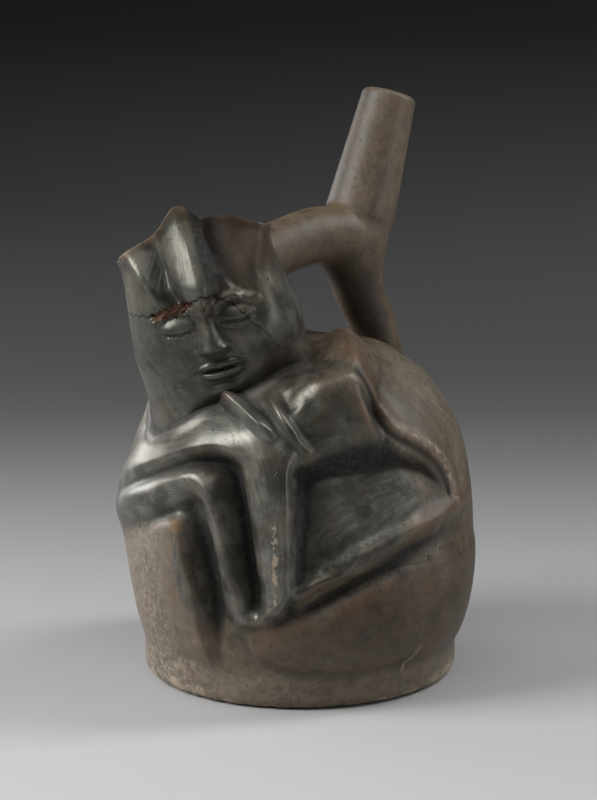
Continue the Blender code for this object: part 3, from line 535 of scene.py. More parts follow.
rough = reckon('MAXIMUM', mixed(rubbed_share, matt, shiny, 'FLOAT'), times(dull, 0.8))
sheen = times(times(rubbed_share, reckon('SUBTRACT', 1.0, dull)), 0.5)
bumps = plus(flakes, 0.16, plus(grain, 0.12, times(mottle, 0.25)))
bumps = times(bumps, plus(rubbed_share, -0.8, 1.0))
for trace, depth in ((times(strokes, rubbed_share), 0.09), (scores, -0.12), (pits, -0.35), (cling, 0.22),
                     (times(given["Raw"], flakes), 1.6)):
    bumps = plus(trace, depth, bumps)
group_out = add_node(fired_clay, "NodeGroupOutput")
for label, value in (("Colour", colour), ("Roughness", rough), ("Sheen", sheen), ("Height", bumps)):
    feed(group_out.inputs[label], value)


finishes = {}


def make_clay(slot, slip_colour, burnished_colour=(0.122, 0.120, 0.103)):
    """A clay of one slip and one burnish, read from the masks that each piece carries."""
    material = bpy.data.materials.new(slot)
    material.use_nodes = True
    tree = material.node_tree
    shader = tree.nodes["Principled BSDF"]
    body = add_node(tree, "ShaderNodeGroup", node_tree=fired_clay)
    feed(body.inputs["Slip"], slip_colour)
    feed(body.inputs["Burnished"], burnished_colour)
    for mask in mask_names:
        read = add_node(tree, "ShaderNodeAttribute", attribute_name=mask.lower())
        feed(body.inputs[mask], read.outputs["Vector" if mask == "Lay" else "Fac"])
    bump = add_node(tree, "ShaderNodeBump")
    bump.inputs["Distance"].default_value = 0.0007
    bump.inputs["Strength"].default_value = 0.6
    feed(bump.inputs["Height"], body.outputs["Height"])
    feed(shader.inputs["Normal"], bump.outputs["Normal"])
    feed(shader.inputs["Base Color"], body.outputs["Colour"])
    feed(shader.inputs["Roughness"], body.outputs["Roughness"])
    feed(shader.inputs["Metallic"], body.outputs["Sheen"])
    shader.inputs["IOR"].default_value = 1.42
    finishes[slot] = material


# Pads and coils that make the limbs: each is a piece of clay of its own, luted on the wall, which dips a
# little under it. The thighs keep a darker slip, and the arms, the hand and the rod a darker burnish.
make_clay("thigh_clay", (0.070, 0.052, 0.035))
make_clay("chest_clay", (0.105, 0.080, 0.054))
make_clay("face_clay", (0.105, 0.080, 0.054), (0.088, 0.087, 0.072))


def read_points(values, count):
    """Rows of three numbers from a mesh's points."""
    numbers = np.zeros(count * 3, np.float32)
    values.foreach_get("co" if hasattr(values[0], "co") else "vector", numbers)
    return numbers.reshape(-1, 3)


def model_piece(name, slot, outer, inner, normals, masks, keep=None):
    """Adds a grid, moves it on to a sheet of outer points in millimetres, and gives it its back and rims."""
    rows, columns = outer.shape[:2]
    bpy.ops.object.select_all(action='DESELECT')
    bpy.ops.mesh.primitive_grid_add(x_subdivisions=columns - 1, y_subdivisions=rows - 1, size=0.1)
    piece = bpy.context.object
    piece.name = piece.data.name = "finished_" + name
    mesh = piece.data
    mesh.vertices.foreach_set("co", (outer * 0.001).astype(np.float32).ravel())
    carried = dict(masks)
    if inner is not None:
        carried["back"] = inner * 0.001
    carried["facing"] = normals
    for key, values in carried.items():
        kind, field = ('FLOAT_VECTOR', 'vector') if values.ndim == 3 else ('FLOAT', 'value')
        mesh.attributes.new(key, kind, 'POINT').data.foreach_set(field, values.astype(np.float32).ravel())
    bpy.ops.object.mode_set(mode='EDIT')
    bpy.ops.mesh.select_all(action='SELECT')
    bpy.ops.mesh.remove_doubles(threshold=1e-7)
    bpy.ops.mesh.select_all(action='DESELECT')
    bpy.ops.object.mode_set(mode='OBJECT')
    if keep is not None:
        kept = keep[:-1, :-1] & keep[1:, :-1] & keep[:-1, 1:] & keep[1:, 1:]
        mesh.polygons.foreach_set("select", ~kept.ravel())
        bpy.ops.object.mode_set(mode='EDIT')
        bpy.ops.mesh.select_mode(type='FACE')
        bpy.ops.mesh.delete(type='FACE')
        bpy.ops.object.mode_set(mode='OBJECT')
    outer_count = len(mesh.vertices)
    if inner is not None:
        wall = piece.modifiers.new("wall", 'SOLIDIFY')
        wall.thickness, wall.offset = 0.001, -1.0
        bpy.ops.object.modifier_apply(modifier="wall")
        mesh = piece.data
        places = read_points(mesh.vertices, len(mesh.vertices))
        backs = read_points(mesh.attributes["back"].data, len(mesh.vertices))
        places[outer_count:] = backs[outer_count:]
        mesh.vertices.foreach_set("co", places.ravel())
        mesh.attributes.remove(mesh.attributes["back"])
    mesh.update()
    bpy.ops.object.shade_smooth()
    facing = read_points(mesh.attributes["facing"].data, len(mesh.vertices))
    facing[outer_count:] = 0.0
    mesh.normals_split_custom_set_from_vertices(facing.tolist())
    mesh.attributes.remove(mesh.attributes["facing"])
    mesh.materials.append(finishes[slot])
    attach(piece, "root")
    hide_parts(name)


def masks_of(masks, part):
    """The masks of one part of a sheet."""
    return {key: values[part] for key, values in masks.items()}


pads = {
    "right_leg": ("chest_clay", (from_arris > -26) & (from_arris < 4.6) & (climb > 15)
                  & (climb < panel_top)),
    "collar_roll": ("chest_clay", (collar_edge < 0.85) & (turn > -34) & (turn < 20)),
    "knee_roll": ("chest_clay", (knee_edge < 0.97) & (turn > -34) & (turn < 14)),
    "shin_ridge": ("chest_clay", (shin_edge < 0.97) & (climb > 34)),
    "lap_panel": ("chest_clay", (pillar_edge < 0.93) & (climb > 42) & (climb < 95)),
    "left_thigh": ("thigh_clay", (thigh > 0.6) & (turn > 30) & (turn < 126)),
    "left_forearm": ("face_clay", (forearm_edge < 0.96) & (turn < 116)),
    "right_thigh": ("thigh_clay", far_thigh_edge < 0.95),
    "right_forearm": ("face_clay", far_forearm_edge < 0.95),
    "left_hand": ("face_clay", (hand > 0.8) & (turn < 100) & (climb < 150)),
    "mouth_rod": ("face_clay", rod_edge < 0.98),
}
pad_steps, step_depth, seat_share = 6, 0.5, 0.97
taken = climb < slab_height + 0.5
dip = np.zeros_like(turn)
for pad, (pad_slot, mask) in pads.items():
    mask &= ~taken
    taken |= mask
    inside = mask.copy()
    sunk = np.zeros_like(turn)
    for _ in range(pad_steps):
        for axis in (0, 1):
            inside = inside & np.roll(inside, 1, axis) & np.roll(inside, -1, axis)
        sunk += step_depth * inside
    dip += sunk
    low, high = np.flatnonzero(mask.any(1))[[0, -1]]
    first, last = np.flatnonzero(mask.any(0))[[0, -1]]
    part = (slice(low, high + 1), slice(first, last + 1))
    seat = on_wall(turn[part], climb[part], lift[part] - seat_share * sunk[part])
    model_piece(pad, pad_slot, skin[part], seat, skin_normals[part], masks_of(skin_masks, part), mask[part])

# Half walls of the chamber: a front and a back of moulded clay in a brown slip, luted edge to edge across
# y = 0. The front one shows between the limbs, and the back one is the cape.
make_clay("cape_clay", (0.100, 0.079, 0.053))
least_wall = 2.5
wall_skin = on_wall(turn, climb, lift - dip)
wall_back = on_wall(turn, climb, np.minimum(-wall_thickness, lift - dip - least_wall))
wall_facing = np.where((dip > 0)[..., None], 0.0, skin_normals)
above_slab = climbs >= slab_height - 1e-6
front_columns = np.flatnonzero((turns >= -90) & (turns <= 90))
back_columns = np.concatenate([np.flatnonzero(turns >= 90)[:-1], np.flatnonzero(turns <= -90)])
for half, columns in (("body_front_wall", front_columns), ("body_back_wall", back_columns)):
    part = np.ix_(above_slab, columns)
    half_masks = masks_of(skin_masks, part)
    model_piece(half, "cape_clay", wall_skin[part], wall_back[part], wall_facing[part], half_masks)

# Foot of the vessel: a flat slab of clay luted under the wall, its edge flush with it, rubbed round and
# chipped by use. It closes the chamber and stands on the table.
make_clay("plinth_clay", (0.118, 0.088, 0.058))
in_slab = climbs <= slab_height + 1e-6
spin, levels = np.radians(turns), climbs[in_slab]
chip = 0.35 * np.sin(7 * spin + 1) * np.sin(19 * spin) + 0.25 * np.sin(41 * spin + 2)
chip = np.clip(chip + 0.2 * np.sin(73 * spin), -0.1, 0.8)
rounding = np.interp(levels, (0, 0.75, 1.5, 2.3, 3.8, 6), (3.8, 2.0, 1.0, 0.4, 0.0, 0.0))[:, None]
rounding = rounding + chip[None, :] * fade(levels, 0.5, 3.5)[:, None]
slab_side = skin[in_slab].copy()
slab_side[..., :2] *= (1 - rounding / foot_radius)[..., None]
disc = [slab_side[0] * np.array((reach, reach, 1.0)) for reach in (0.0, 0.5, 0.9, 0.98)]
lid = [slab_side[-1] * np.array((reach, reach, 1.0)) for reach in (0.9, 0.0)]
slab = np.concatenate([np.stack(disc), slab_side, np.stack(lid)])
slab_rows = np.concatenate([np.zeros(len(disc), int), np.flatnonzero(in_slab),
                            np.full(len(lid), in_slab.sum() - 1)])
slab_normals = sheet_normals(slab)
slab_normals[:len(disc)], slab_normals[-len(lid):] = (0.0, 0.0, -1.0), (0.0, 0.0, 1.0)
slab_normals[-len(lid) - 1] = skin_normals[in_slab][-1]
model_piece("base_slab", "plinth_clay", slab, None, slab_normals, masks_of(skin_masks, slab_rows))

# Head: a hollow box of clay with rounded corners, luted on the dome, that looks to the figure's left, tilted
# under a peaked crown. It was broken and refitted: the crack runs across the brow and down the left cheek,
# chipped on the right. A place on it is a turn from its own front and a height from its centre.
make_clay("stirrup_clay", (0.090, 0.067, 0.041))
head_bearing, head_turn, head_roll = math.radians(-12.8), math.radians(44.0), math.radians(15.0)
head_reach, head_rise, head_wall, seat_depth = 38.5, 14.0, 4.5, 1.6
head_centre = np.array([head_reach * math.sin(head_bearing), -head_reach * math.cos(head_bearing),
                        dome_height + head_rise])
ahead = Vector((math.sin(head_turn), -math.cos(head_turn), 0.0))
roll = Matrix.Rotation(head_roll, 3, ahead)
head_across = np.array(roll @ Vector((-ahead.y, ahead.x, 0.0)))
head_up = np.array(roll @ Vector((0.0, 0.0, 1.0)))
head_forward = np.array(ahead)


def crown_rim(face_turn):
    """Height of the crown's rim: a point in the middle, corners at the sides, lower behind."""
    rim = smooth_line((
        (-180, 25), (-120, 25), (-92, 26.5), (-62, 30), (-47, 33.6), (-38, 35.2), (-27, 37.4), (-15, 41.6),
        (-4, 44.4), (7, 43.2), (20, 38.2), (32, 37.4), (42, 36.8), (51, 34.4), (66, 29), (92, 26.5),
        (120, 25), (180, 25)), 8)
    return np.interp(face_turn, rim[:, 0], rim[:, 1])


def break_line(face_turn):
    """Height of the old break, a little ragged."""
    line = np.interp(face_turn, (-180, -95, -50, -36, -28, -17, -6, 0, 10, 15,
                                 22, 28.5, 34, 41, 48, 54, 60, 90, 180),
                     (9, 10.5, 8.5, 7.4, 8.4, 8.8, 10, 11.6, 10.3, 8.2,
                      5.7, 0.2, -4.6, -8.8, -15.0, -17.4, -17.8, -10, 9))
    return line + 0.35 * np.sin(face_turn * 0.9) + 0.22 * np.sin(face_turn * 2.3 + 1)


def head_section(face_turn, height):
    """Plain radius of the head at a turn from its own front and a height from its centre."""
    angle = np.radians(face_turn)
    sine, cosine = np.abs(np.sin(angle)), np.abs(np.cos(angle))
    on_right = np.sin(angle) < 0
    jaw = np.interp(face_turn, (-180, -115, -92, -72, -52, -30, 0, 30, 60, 88, 115, 180),
                    (-60, -60, -60, -54, -42, -32, -28.5, -27, -23, -28, -60, -60))
    width = 33.5 - 5.5 * ease(height, -27, 32.5) - np.where(on_right, 3.4, 5.8) * ease(-height, 4, 30)
    depth = np.where(np.cos(angle) > 0, 23.5 + 3.5 * ease(height, -27, 2) - 9.4 * ease(height, 4, 46), 24.0)
    power = 2.1 + 0.8 * ease(height, -20, 8)
    box = ((sine / width) ** power + (cosine / depth) ** power) ** (-1 / power)
    neck = ((sine / np.where(on_right, 27.0, 22.0)) ** 2.4 + (cosine / 16.0) ** 2.4) ** (-1 / 2.4)
    return box + (np.minimum(neck, box) - box) * ease(jaw - height, -6.0, 9.0)


def in_head(face_turn, height, radius):
    """Points in millimetres from places on the head."""
    angle = np.radians(face_turn)[..., None]
    return (head_centre + radius[..., None] * (np.sin(angle) * head_across + np.cos(angle) * head_forward)
            + height[..., None] * head_up)


def inside_body(points):
    """How deep points lie under the plain wall of the body, negative outside."""
    span = np.hypot(points[..., 0], points[..., 1])
    level = np.maximum(points[..., 2] - belly_height, 0.0)
    out = (span / belly_radius) ** dome_fullness + (level / dome_rise) ** dome_fullness
    return belly_radius - out ** (1 / dome_fullness) * belly_radius


face_turns = np.concatenate([np.linspace(-180.0, -97.5, 34), np.linspace(-95.0, 60.0, 206),
                             np.linspace(62.4, 180.0, 50)])
off_middle = np.abs(face_turns)
seat_flare = 3.2 + 3.6 * ease(off_middle, 35, 60) * fade(off_middle, 95, 120)
seat_flare *= fade(np.cos(np.radians(face_turns)), 0.25, 0.85)
seat_low, seat_line = np.full(len(face_turns), -48.0), np.full(len(face_turns), 5.0)
for _ in range(22):
    middle = (seat_low + seat_line) / 2
    jaw_points = in_head(face_turns, middle, head_section(face_turns, middle) + seat_flare)
    deep = inside_body(jaw_points) > seat_depth
    seat_low, seat_line = np.where(deep, middle, seat_low), np.where(deep, seat_line, middle)

low_rows, high_rows, cap_rows = 84, 66, 14
wall_rows = low_rows + high_rows
face_turn = np.broadcast_to(face_turns, (wall_rows + cap_rows, len(face_turns)))
share = np.concatenate([np.linspace(0, 1, low_rows), np.linspace(0, 1, high_rows), np.ones(cap_rows)])
share = share[:, None]
row = np.arange(wall_rows + cap_rows)[:, None]
in_face, in_cap = row < low_rows, row >= wall_rows
in_crown = ~in_face & ~in_cap
broken, rim = break_line(face_turns)[None, :], crown_rim(face_turns)[None, :]
height = np.where(in_face, seat_line + (broken - seat_line) * share, broken + (rim - broken) * share)
cap_share = np.concatenate([np.ones(wall_rows), np.cos(np.linspace(0.12, math.pi / 2, cap_rows))])[:, None]
degrees = np.arange(-180.0, 181.0)
rim_waves = np.fft.rfft(crown_rim(degrees[:-1]))
wave_counts = np.arange(len(rim_waves))
for cap_row in range(wall_rows, wall_rows + cap_rows):
    kept_waves = cap_share[cap_row, 0] ** np.minimum(wave_counts, 1.8 + 0.4 * wave_counts)
    level = np.fft.irfft(rim_waves * kept_waves, 360)
    height[cap_row] = np.interp(face_turns, degrees, np.append(level, level[0]))
height = height + np.where(in_cap, 0.5 * np.sin(np.pi * np.clip((1 - cap_share) * 3.2, 0, 1)), 0)

plain_radius = head_section(face_turn, height)
facing_front = np.cos(np.radians(face_turn))
in_front = facing_front > 0.05
across = plain_radius * np.sin(np.radians(face_turn))
flat_face = np.stack([across, height, np.zeros_like(across)], axis=-1)
flat_face[~in_front] += 500.0


def on_face(route, crest=2.0, foot=1.5):
    """A stroke on the front of the head; each row is across, up, lift and the half width, or two of them."""
    line = smooth_line([(*place, place[-1])[:5] for place in route])
    points = np.stack([line[:, 0], line[:, 1], np.zeros(len(line))], axis=-1)
    faces = np.broadcast_to((0.0, 0.0, 1.0), points.shape)
    return stroke(flat_face, points, faces, *line[:, 2:].T, crest, foot)[0]


def face_spot(u, v, wide, tall, rise):
    """A round swelling or dent on the front of the head."""
    return rise * np.exp(-((flat_face[..., 0] - u) / wide) ** 2 - ((flat_face[..., 1] - v) / tall) ** 2)


relief = np.zeros_like(across)
for crest, foot, route in (
        (1.25, 1.05, ((-1.6, 44, 0.9, 8, 6), (-0.6, 36, 3.0, 8, 8.4), (0.8, 27, 5.5, 7.4, 10.6),
                      (1.4, 20, 7.2, 7, 12.4), (1.2, 14, 8.2, 6.4, 12.0), (0.6, 10, 6.4, 5, 8),
                      (0.2, 5.5, 2.6, 3.5, 4))),
        (1.9, 1.2, ((-26, 35, 1.6, 5, 4), (-20, 29.5, 4.2, 5, 4.2), (-15.6, 21.8, 5.8, 4.6, 4.2),
                    (-12.8, 13.6, 4.8, 4, 3.6), (-12, 9, 0.8, 3.5, 3))),
        (2.0, 1.5, ((-13, 38, -0.6, 3, 4), (-12.2, 28, -1.5, 2.8, 3.6), (-11.4, 19, -1.9, 2.6, 3.2),
                    (-10.4, 11.5, -1.5, 2.6, 3))),
        (2.0, 1.5, ((29, 35, 2.6, 5, 5), (25, 27, 3.0, 5, 5), (21, 18, 1.8, 5, 5))),
        (2.0, 1.6, ((10, 38, -1.8, 6, 5), (11, 27, -3.0, 6.5, 5.5), (14.5, 15, -2.6, 5.5, 4.5),
                    (16.5, 9, -1.8, 4, 4))),
        (1.7, 1.2, ((0, 7, 2.0, 3.2), (0, 1, 3.4, 3.8), (0, -5, 5.0, 4.6), (0, -8.8, 6.0, 5.2)))):
    relief += on_face(route, crest, foot)
eye_out = 11.6
for hand_side in (-1, 1):
    for u, v, wide, tall, rise in ((4.0, -9.2, 2.2, 1.9, 1.7), (eye_out, 1.8, 8.0, 5.2, -1.9),
                                   (16.0, -9.5, 8.0, 6.5, 1.3)):
        relief += face_spot(u * hand_side, v, wide, tall, rise)
    brow = ((3.0, 5.6, 0.8, 2.6), (8.0, 7.8, 1.7, 2.8), (13.5, 8.0, 1.7, 2.8), (19.5, 4.8, 0.7, 2.6))
    relief += on_face([(u * hand_side, *rest) for u, *rest in brow], 2.0, 1.4)
    lid_u = (flat_face[..., 0] - eye_out * hand_side) / 7.4
    lid_v = (flat_face[..., 1] - 0.9) / 4.4
    relief += 2.9 * np.clip(1 - lid_u ** 2 - lid_v ** 2, 0, 1) ** 1.1
    slit = [(eye_out * hand_side + 6.4 * s, -1.3 * (1 - s * s), -1.15 if abs(s) < 0.9 else -0.5, 0.8)
            for s in (-1, -0.6, 0, 0.6, 1)]
    relief += on_face(slit, 2.0, 1.2)
for foot, lip in (
        (1.3, ((-9.2, -17.0, 0.5, 1.8), (-4, -15.8, 1.5, 2), (0, -16.0, 1.3, 2), (4, -15.8, 1.5, 2),
               (9.2, -17.0, 0.5, 1.8))),
        (1.3, ((-7.4, -18.6, 0.5, 2), (-3, -19.6, 1.8, 2.2), (3, -19.6, 1.8, 2.2), (7.4, -18.6, 0.5, 2))),
        (1.2, ((-9.6, -17.5, -0.6, 0.8), (-4, -17.5, -1.2, 0.8), (0, -17.7, -1.2, 0.8),
               (4, -17.5, -1.2, 0.8), (9.6, -17.5, -0.6, 0.8)))):
    relief += on_face(lip, 2.0, foot)
relief += face_spot(0, -13.2, 1.2, 1.8, -0.5) + face_spot(0, -26.0, 6.5, 3.6, 1.9)
relief += face_spot(0, -22.6, 5.0, 1.3, -0.7)
relief += (soften(relief, 9) - relief) * ease(height, 9, 13) * in_crown

flare_height = 7.5 + 6.5 * ease(-face_turns, 40, 65) * fade(-face_turns, 110, 140)
flare = seat_flare * np.exp(-np.clip(height - seat_line, 0, 60) / flare_height)
head_lift = relief * ~in_cap + relief[wall_rows - 1] * in_cap * cap_share ** 5 + flare
chip_middle, chip_length = -24, 17.5
chip_half = 2.1 * np.sqrt(np.clip(1 - ((face_turn - chip_middle) / chip_length) ** 2, 0, 1))
chip_half += 0.35 * np.sin(face_turn * 0.8) + 0.2 * np.sin(face_turn * 1.9 + 1)
chipped = fade(np.abs(height - broken + 0.5), chip_half - 0.5, chip_half + 0.4) * ~in_cap
chipped *= np.abs(face_turn - chip_middle) < chip_length
crumbled = 0.35 * np.sin(face_turn * 1.7 + height * 2.1) + 0.3 * np.sin(face_turn * 0.9 - height * 3.3)
head_lift -= chipped * (1.5 + crumbled)
head_lift += 0.9 * np.exp(-((height - rim) / 2.6) ** 2) * ~in_face * ease(facing_front, -0.3, 0.1)
rounded_back = ease(-face_turn, 95, 130) + ease(face_turn, 118, 170)
up_corner = np.where(in_cap, 1.0, np.clip((height - rim + 8) / 8, 0, 1))
head_lift -= 4.6 * rounded_back * (1 - np.sqrt(1 - 0.97 * up_corner ** 2)) * ~in_face
radius = (plain_radius + head_lift) * cap_share
crack_half, crack_reach, cavity_top = 0.16, 0.8, 27.5
parted_by = np.where(in_face, -crack_half, np.where(in_crown, crack_half, 0.0))
shown = height + parted_by * np.exp(-np.abs(height - broken) / crack_reach)
head_skin = in_head(face_turn, shown, radius)
inner_height = np.where(in_cap, shown - head_wall, np.minimum(shown, rim - head_wall))
head_inner = in_head(face_turn, np.minimum(inner_height, cavity_top), np.maximum(radius - head_wall, 0.0))
head_normals = sheet_normals(in_head(face_turn, height, radius))
head_normals[-1] = head_up

head_proud = soften(head_lift, 2) - soften(head_lift, 10)
face_front = ease(facing_front, -0.5, 0.1)
round_head = np.radians(np.interp(face_turn, (-180, -110, 110, 180), (0, -110, 110, 0))) * 28
head_burnish = face_front * ~in_cap * (1 - 0.5 * ease(height, 34, 42))
head_burnish *= 1 - 0.8 * ease(across, 3, 9) * ease(height, 9, 18)
head_burnish *= 1 - 0.25 * ease(-across, 12, 24) * ease(-height, 10, 22)
head_worn = np.clip(head_proud * 1.2 - 0.3, 0, 1) * ease(height, 22, 34)
head_worn += 0.75 * np.exp(-((height - rim) / 1.8) ** 2) * ~in_face
# Painted shade: hollows of the head and the flank right of the crown's ridge are darkened as shade; the
# crack line is its own dark joint.
head_shade_and_crack = np.clip(-head_proud * 1.6 - 0.12, 0, 1)
head_shade_and_crack += 0.8 * np.exp(-np.abs(height - broken) / 0.35) * face_front
ridge_shadow = ease(across, 1.4, 3.6) * (1 - 0.4 * ease(across, 9, 18)) * ease(height, 9, 16) * in_front
crown_warmth = 0.8 * ease(height, 24, 36) + 0.9 * ease(across, 3, 9) * ease(height, 8, 18) * in_front
head_lay = np.stack([height - 0.3 * round_head, round_head + 0.3 * height, np.full_like(height, 0.2)], -1)
head_masks = {
    "burnish": np.clip(head_burnish, 0, 1),
    "worn": head_worn,
    "crease": (head_shade_and_crack + ridge_shadow) * ~in_cap,
    "warmth": np.where(in_cap, 0.5, crown_warmth),
    "crust": 0.62 * ease(-across, 8, 26) * (1 - 0.4 * ease(height, 25, 40)),
    "raw": np.clip(chipped * 1.2, 0, 1),
    "lay": head_lay,
}
face_columns = np.flatnonzero((face_turns >= -95.001) & (face_turns <= 60.001))
nape_columns = np.concatenate([np.arange(face_columns[-1], len(face_turns) - 1),
                               np.arange(face_columns[0] + 1)])
low_part, high_part = np.arange(low_rows), np.arange(low_rows, wall_rows + cap_rows)
every_row = np.concatenate([low_part, high_part[1:]])
for sherd, sherd_slot, part in (("head_face", "face_clay", np.ix_(low_part, face_columns)),
                                ("head_crown", "face_clay", np.ix_(high_part, face_columns)),
                                ("head_back", "stirrup_clay", np.ix_(every_row, nape_columns))):
    sherd_masks = masks_of(head_masks, part)
    model_piece(sherd, sherd_slot, head_skin[part], head_inner[part], head_normals[part], sherd_masks)

# Stirrup limbs: two hollow tubes of clay, one from the back of the head and one from the dome, that rise to
# one junction. They are rolled round a stick, bent, luted on mitres with the spout and smoothed there.
junction = np.array([0.0, 28.6, dome_height + 34.3])


def in_stirrup(lean):
    """Direction in the plane x = 0 at a lean in degrees from straight up, towards the back."""
    return np.array([0.0, math.sin(math.radians(lean)), math.cos(math.radians(lean))])


spout_way, front_way, rear_way = in_stirrup(19.6), in_stirrup(15.0 - 90.0), in_stirrup(180.0 - 6.0)
spout_length, mitre_length, limb_wall = 59.2, 13.0, 3.2
limb_fillet, spout_fillet, spoke_count = 12.0, 2.2, 72


def limb_line(way, end, end_way, straight, radii, count=90):
    """Centres and radii along a limb from the junction to its socket."""
    start, socket = junction + mitre_length * way, end - straight * end_way
    pull = np.linalg.norm(socket - start) / 3
    t = np.linspace(0, 1, count)[:, None]
    bend = ((1 - t) ** 3 * start + 3 * t * (1 - t) ** 2 * (start + pull * way)
            + 3 * t * t * (1 - t) * (socket - pull * end_way) + t ** 3 * socket)
    run = np.linspace(0, 1, 30)[:, None]
    line = np.concatenate([junction + run[:-1] * mitre_length * way, bend[:-1],
                           socket + run * (end - socket)])
    walked = np.concatenate([[0], np.cumsum(np.linalg.norm(np.diff(line, axis=0), axis=1))])
    return line, np.interp(walked, *radii), walked


front_end = np.array([0.0, -26.4, dome_height + 33.0])
front_line = limb_line(front_way, front_end, in_stirrup(-90.0 - 11.0), 20.5,
                       ((0, 10, 30, 60), (8.5, 11.2, 10.6, 10.4)))
rear_line = limb_line(rear_way, rear_foot, rear_axis, 25.0, ((0, 14, 30, 70), (11.2, 10.2, 9.0, 9.2)))
spout_walk = np.linspace(0, spout_length, 120)
spout_radii = np.interp(spout_walk, (0, 12, spout_length), (11.2, 13.5, 10.4))
spout_line = (junction + spout_walk[:, None] * spout_way, spout_radii, spout_walk)


def tube_field(points, line, radii, walked):
    """Distance of points from the skin of one tube, negative inside."""
    gap = np.full(points.shape[:-1], 1e9)
    for centre, radius in zip(line[::2], radii[::2]):
        gap = np.minimum(gap, np.linalg.norm(points - centre, axis=-1) - radius)
    return gap


def soft_min(first, second, soft):
    """The lower of two distances, with a fillet where they meet."""
    return np.minimum(first, second) - np.clip(soft - np.abs(first - second), 0, None) ** 2 / (4 * soft)


def stirrup_field(points):
    """Negative inside the clay of the stirrup and the spout, with filleted joints."""
    limbs = soft_min(tube_field(points, *front_line), tube_field(points, *rear_line), limb_fillet)
    return soft_min(limbs, tube_field(points, *spout_line), spout_fillet)


spokes = np.linspace(0, 2 * math.pi, spoke_count + 1)


def tube_skin(line, radii, walked, walk):
    """Centres, spokes and outer radii of a limb at given walks along it, one column for each spoke."""
    def along(values):
        return np.stack([np.interp(walk, walked, values[:, k]) for k in range(3)], axis=-1)

    start_way = line[1] - line[0]
    centre = along(line) + np.minimum(walk, 0.0)[..., None] * start_way / np.linalg.norm(start_way)
    flat = np.cross(along(np.gradient(line, axis=0)), (1.0, 0.0, 0.0))
    flat /= np.linalg.norm(flat, axis=-1, keepdims=True)
    spoke = np.cos(spokes)[None, :, None] * np.array([1.0, 0.0, 0.0]) + np.sin(spokes)[None, :, None] * flat
    near, far = 0.5 * np.interp(walk, walked, radii), np.interp(walk, walked, radii) + 6.0
    for _ in range(13):
        middle = (near + far) / 2
        within = stirrup_field(centre + middle[..., None] * spoke) < 0
        near, far = np.where(within, middle, near), np.where(within, far, middle)
    return centre, spoke, (near + far) / 2


def limb_sheet(way, others, line, count):
    """Outer and bore points of one limb from its mitre to its end, solved on the filleted form."""
    def clear_of_mitres(walk):
        centre, spoke, far = tube_skin(*line, walk)
        from_junction = centre + far[..., None] * spoke - junction
        return np.all([from_junction @ (way - other) > 0 for other in others], axis=0)

    _, radii, walked = line
    step = 0.4
    trial = np.arange(-8.0, 26.0, step)
    beyond = clear_of_mitres(np.broadcast_to(trial[:, None], (len(trial), len(spokes))))
    high = trial[0] + step * (len(trial) - np.argmin(beyond[::-1], axis=0))
    low = high - step
    for _ in range(6):
        middle = (low + high) / 2
        clear = clear_of_mitres(middle[None, :])[0]
        low, high = np.where(clear, low, middle), np.where(clear, middle, high)
    begin = low - 0.03
    walk = begin[None, :] + (walked[-1] - begin[None, :]) * np.linspace(0, 1, count)[:, None]
    centre, spoke, far = tube_skin(*line, walk)
    bore = np.maximum(np.interp(walk, walked, radii) - limb_wall, 1.0)
    return centre + far[..., None] * spoke, centre + bore[..., None] * spoke, walk


def field_normals(sheet, step=0.05):
    """Normals of the filleted form, so that the joints of its pieces don't show."""
    parts = [stirrup_field(sheet + step * axis) - stirrup_field(sheet - step * axis) for axis in np.eye(3)]
    normals = np.stack(parts, axis=-1)
    return normals / np.linalg.norm(normals, axis=-1, keepdims=True)


def limb_masks(sheet, walk, burnish=0.10, crust=0.12, warmth=0.2):
    """Masks of a tube, with painted shade under the bend of the stirrup and on the rear limb's foot."""
    zero = np.zeros(sheet.shape[:2])
    quarter = math.pi / 2
    around = 11 * np.interp(spokes, (0, quarter, 3 * quarter, 4 * quarter), (0, quarter, -quarter, 0))
    facing = field_normals(sheet)
    above_dome = sheet[..., 2] - dome_height
    # Painted shade: the arch's faces that turn down and to the front, and one side of the rear limb's foot,
    # are darkened.
    bend_shade = ease(facing @ np.array([0.0, -0.75, -0.66]), 0.35, 0.9) * ease(sheet[..., 1], 4, 18)
    foot_shade = ease(facing @ np.array([0.74, -0.63, -0.24]), 0.55, 0.93) * fade(above_dome, 16, 30)
    under = np.maximum(bend_shade * ease(above_dome, 10, 20), foot_shade)
    return {"burnish": zero + burnish, "worn": zero + 0.15, "crease": 0.72 * under, "warmth": zero + warmth,
            "crust": zero + crust, "raw": zero, "lay": np.stack([walk, zero + around, zero + 1.0], axis=-1)}


for limb, way, others, line, count in (
        ("stirrup_front_limb", front_way, (spout_way, rear_way), front_line, 64),
        ("stirrup_rear_limb", rear_way, (spout_way, front_way), rear_line, 80)):
    sheet, bore, walk = limb_sheet(way, others, line, count)
    model_piece(limb, "stirrup_clay", sheet, bore, field_normals(sheet), limb_masks(sheet, walk))

# Spout: a straight hollow tube of tan brown clay that widens over the junction and tapers to a plain rounded
# lip. It is rolled like the limbs and luted on them.
make_clay("spout_clay", (0.084, 0.068, 0.047))
lip_height, lip_draw = 2.4, 0.19
sheet, bore, walk = limb_sheet(spout_way, (front_way, rear_way), spout_line, 84)
axis_point = junction + walk[..., None] * spout_way
into_lip = np.clip((walk - spout_length + lip_height) / lip_height, 0.0, 1.0)
sheet = axis_point + (sheet - axis_point) * (1 - lip_draw * (1 - np.sqrt(1 - into_lip ** 2)))[..., None]
spout_facing = np.where((into_lip > 0)[..., None], sheet_normals(sheet), field_normals(sheet))
spout_masks = limb_masks(sheet, walk, 0.0, 0.25, 0.1)
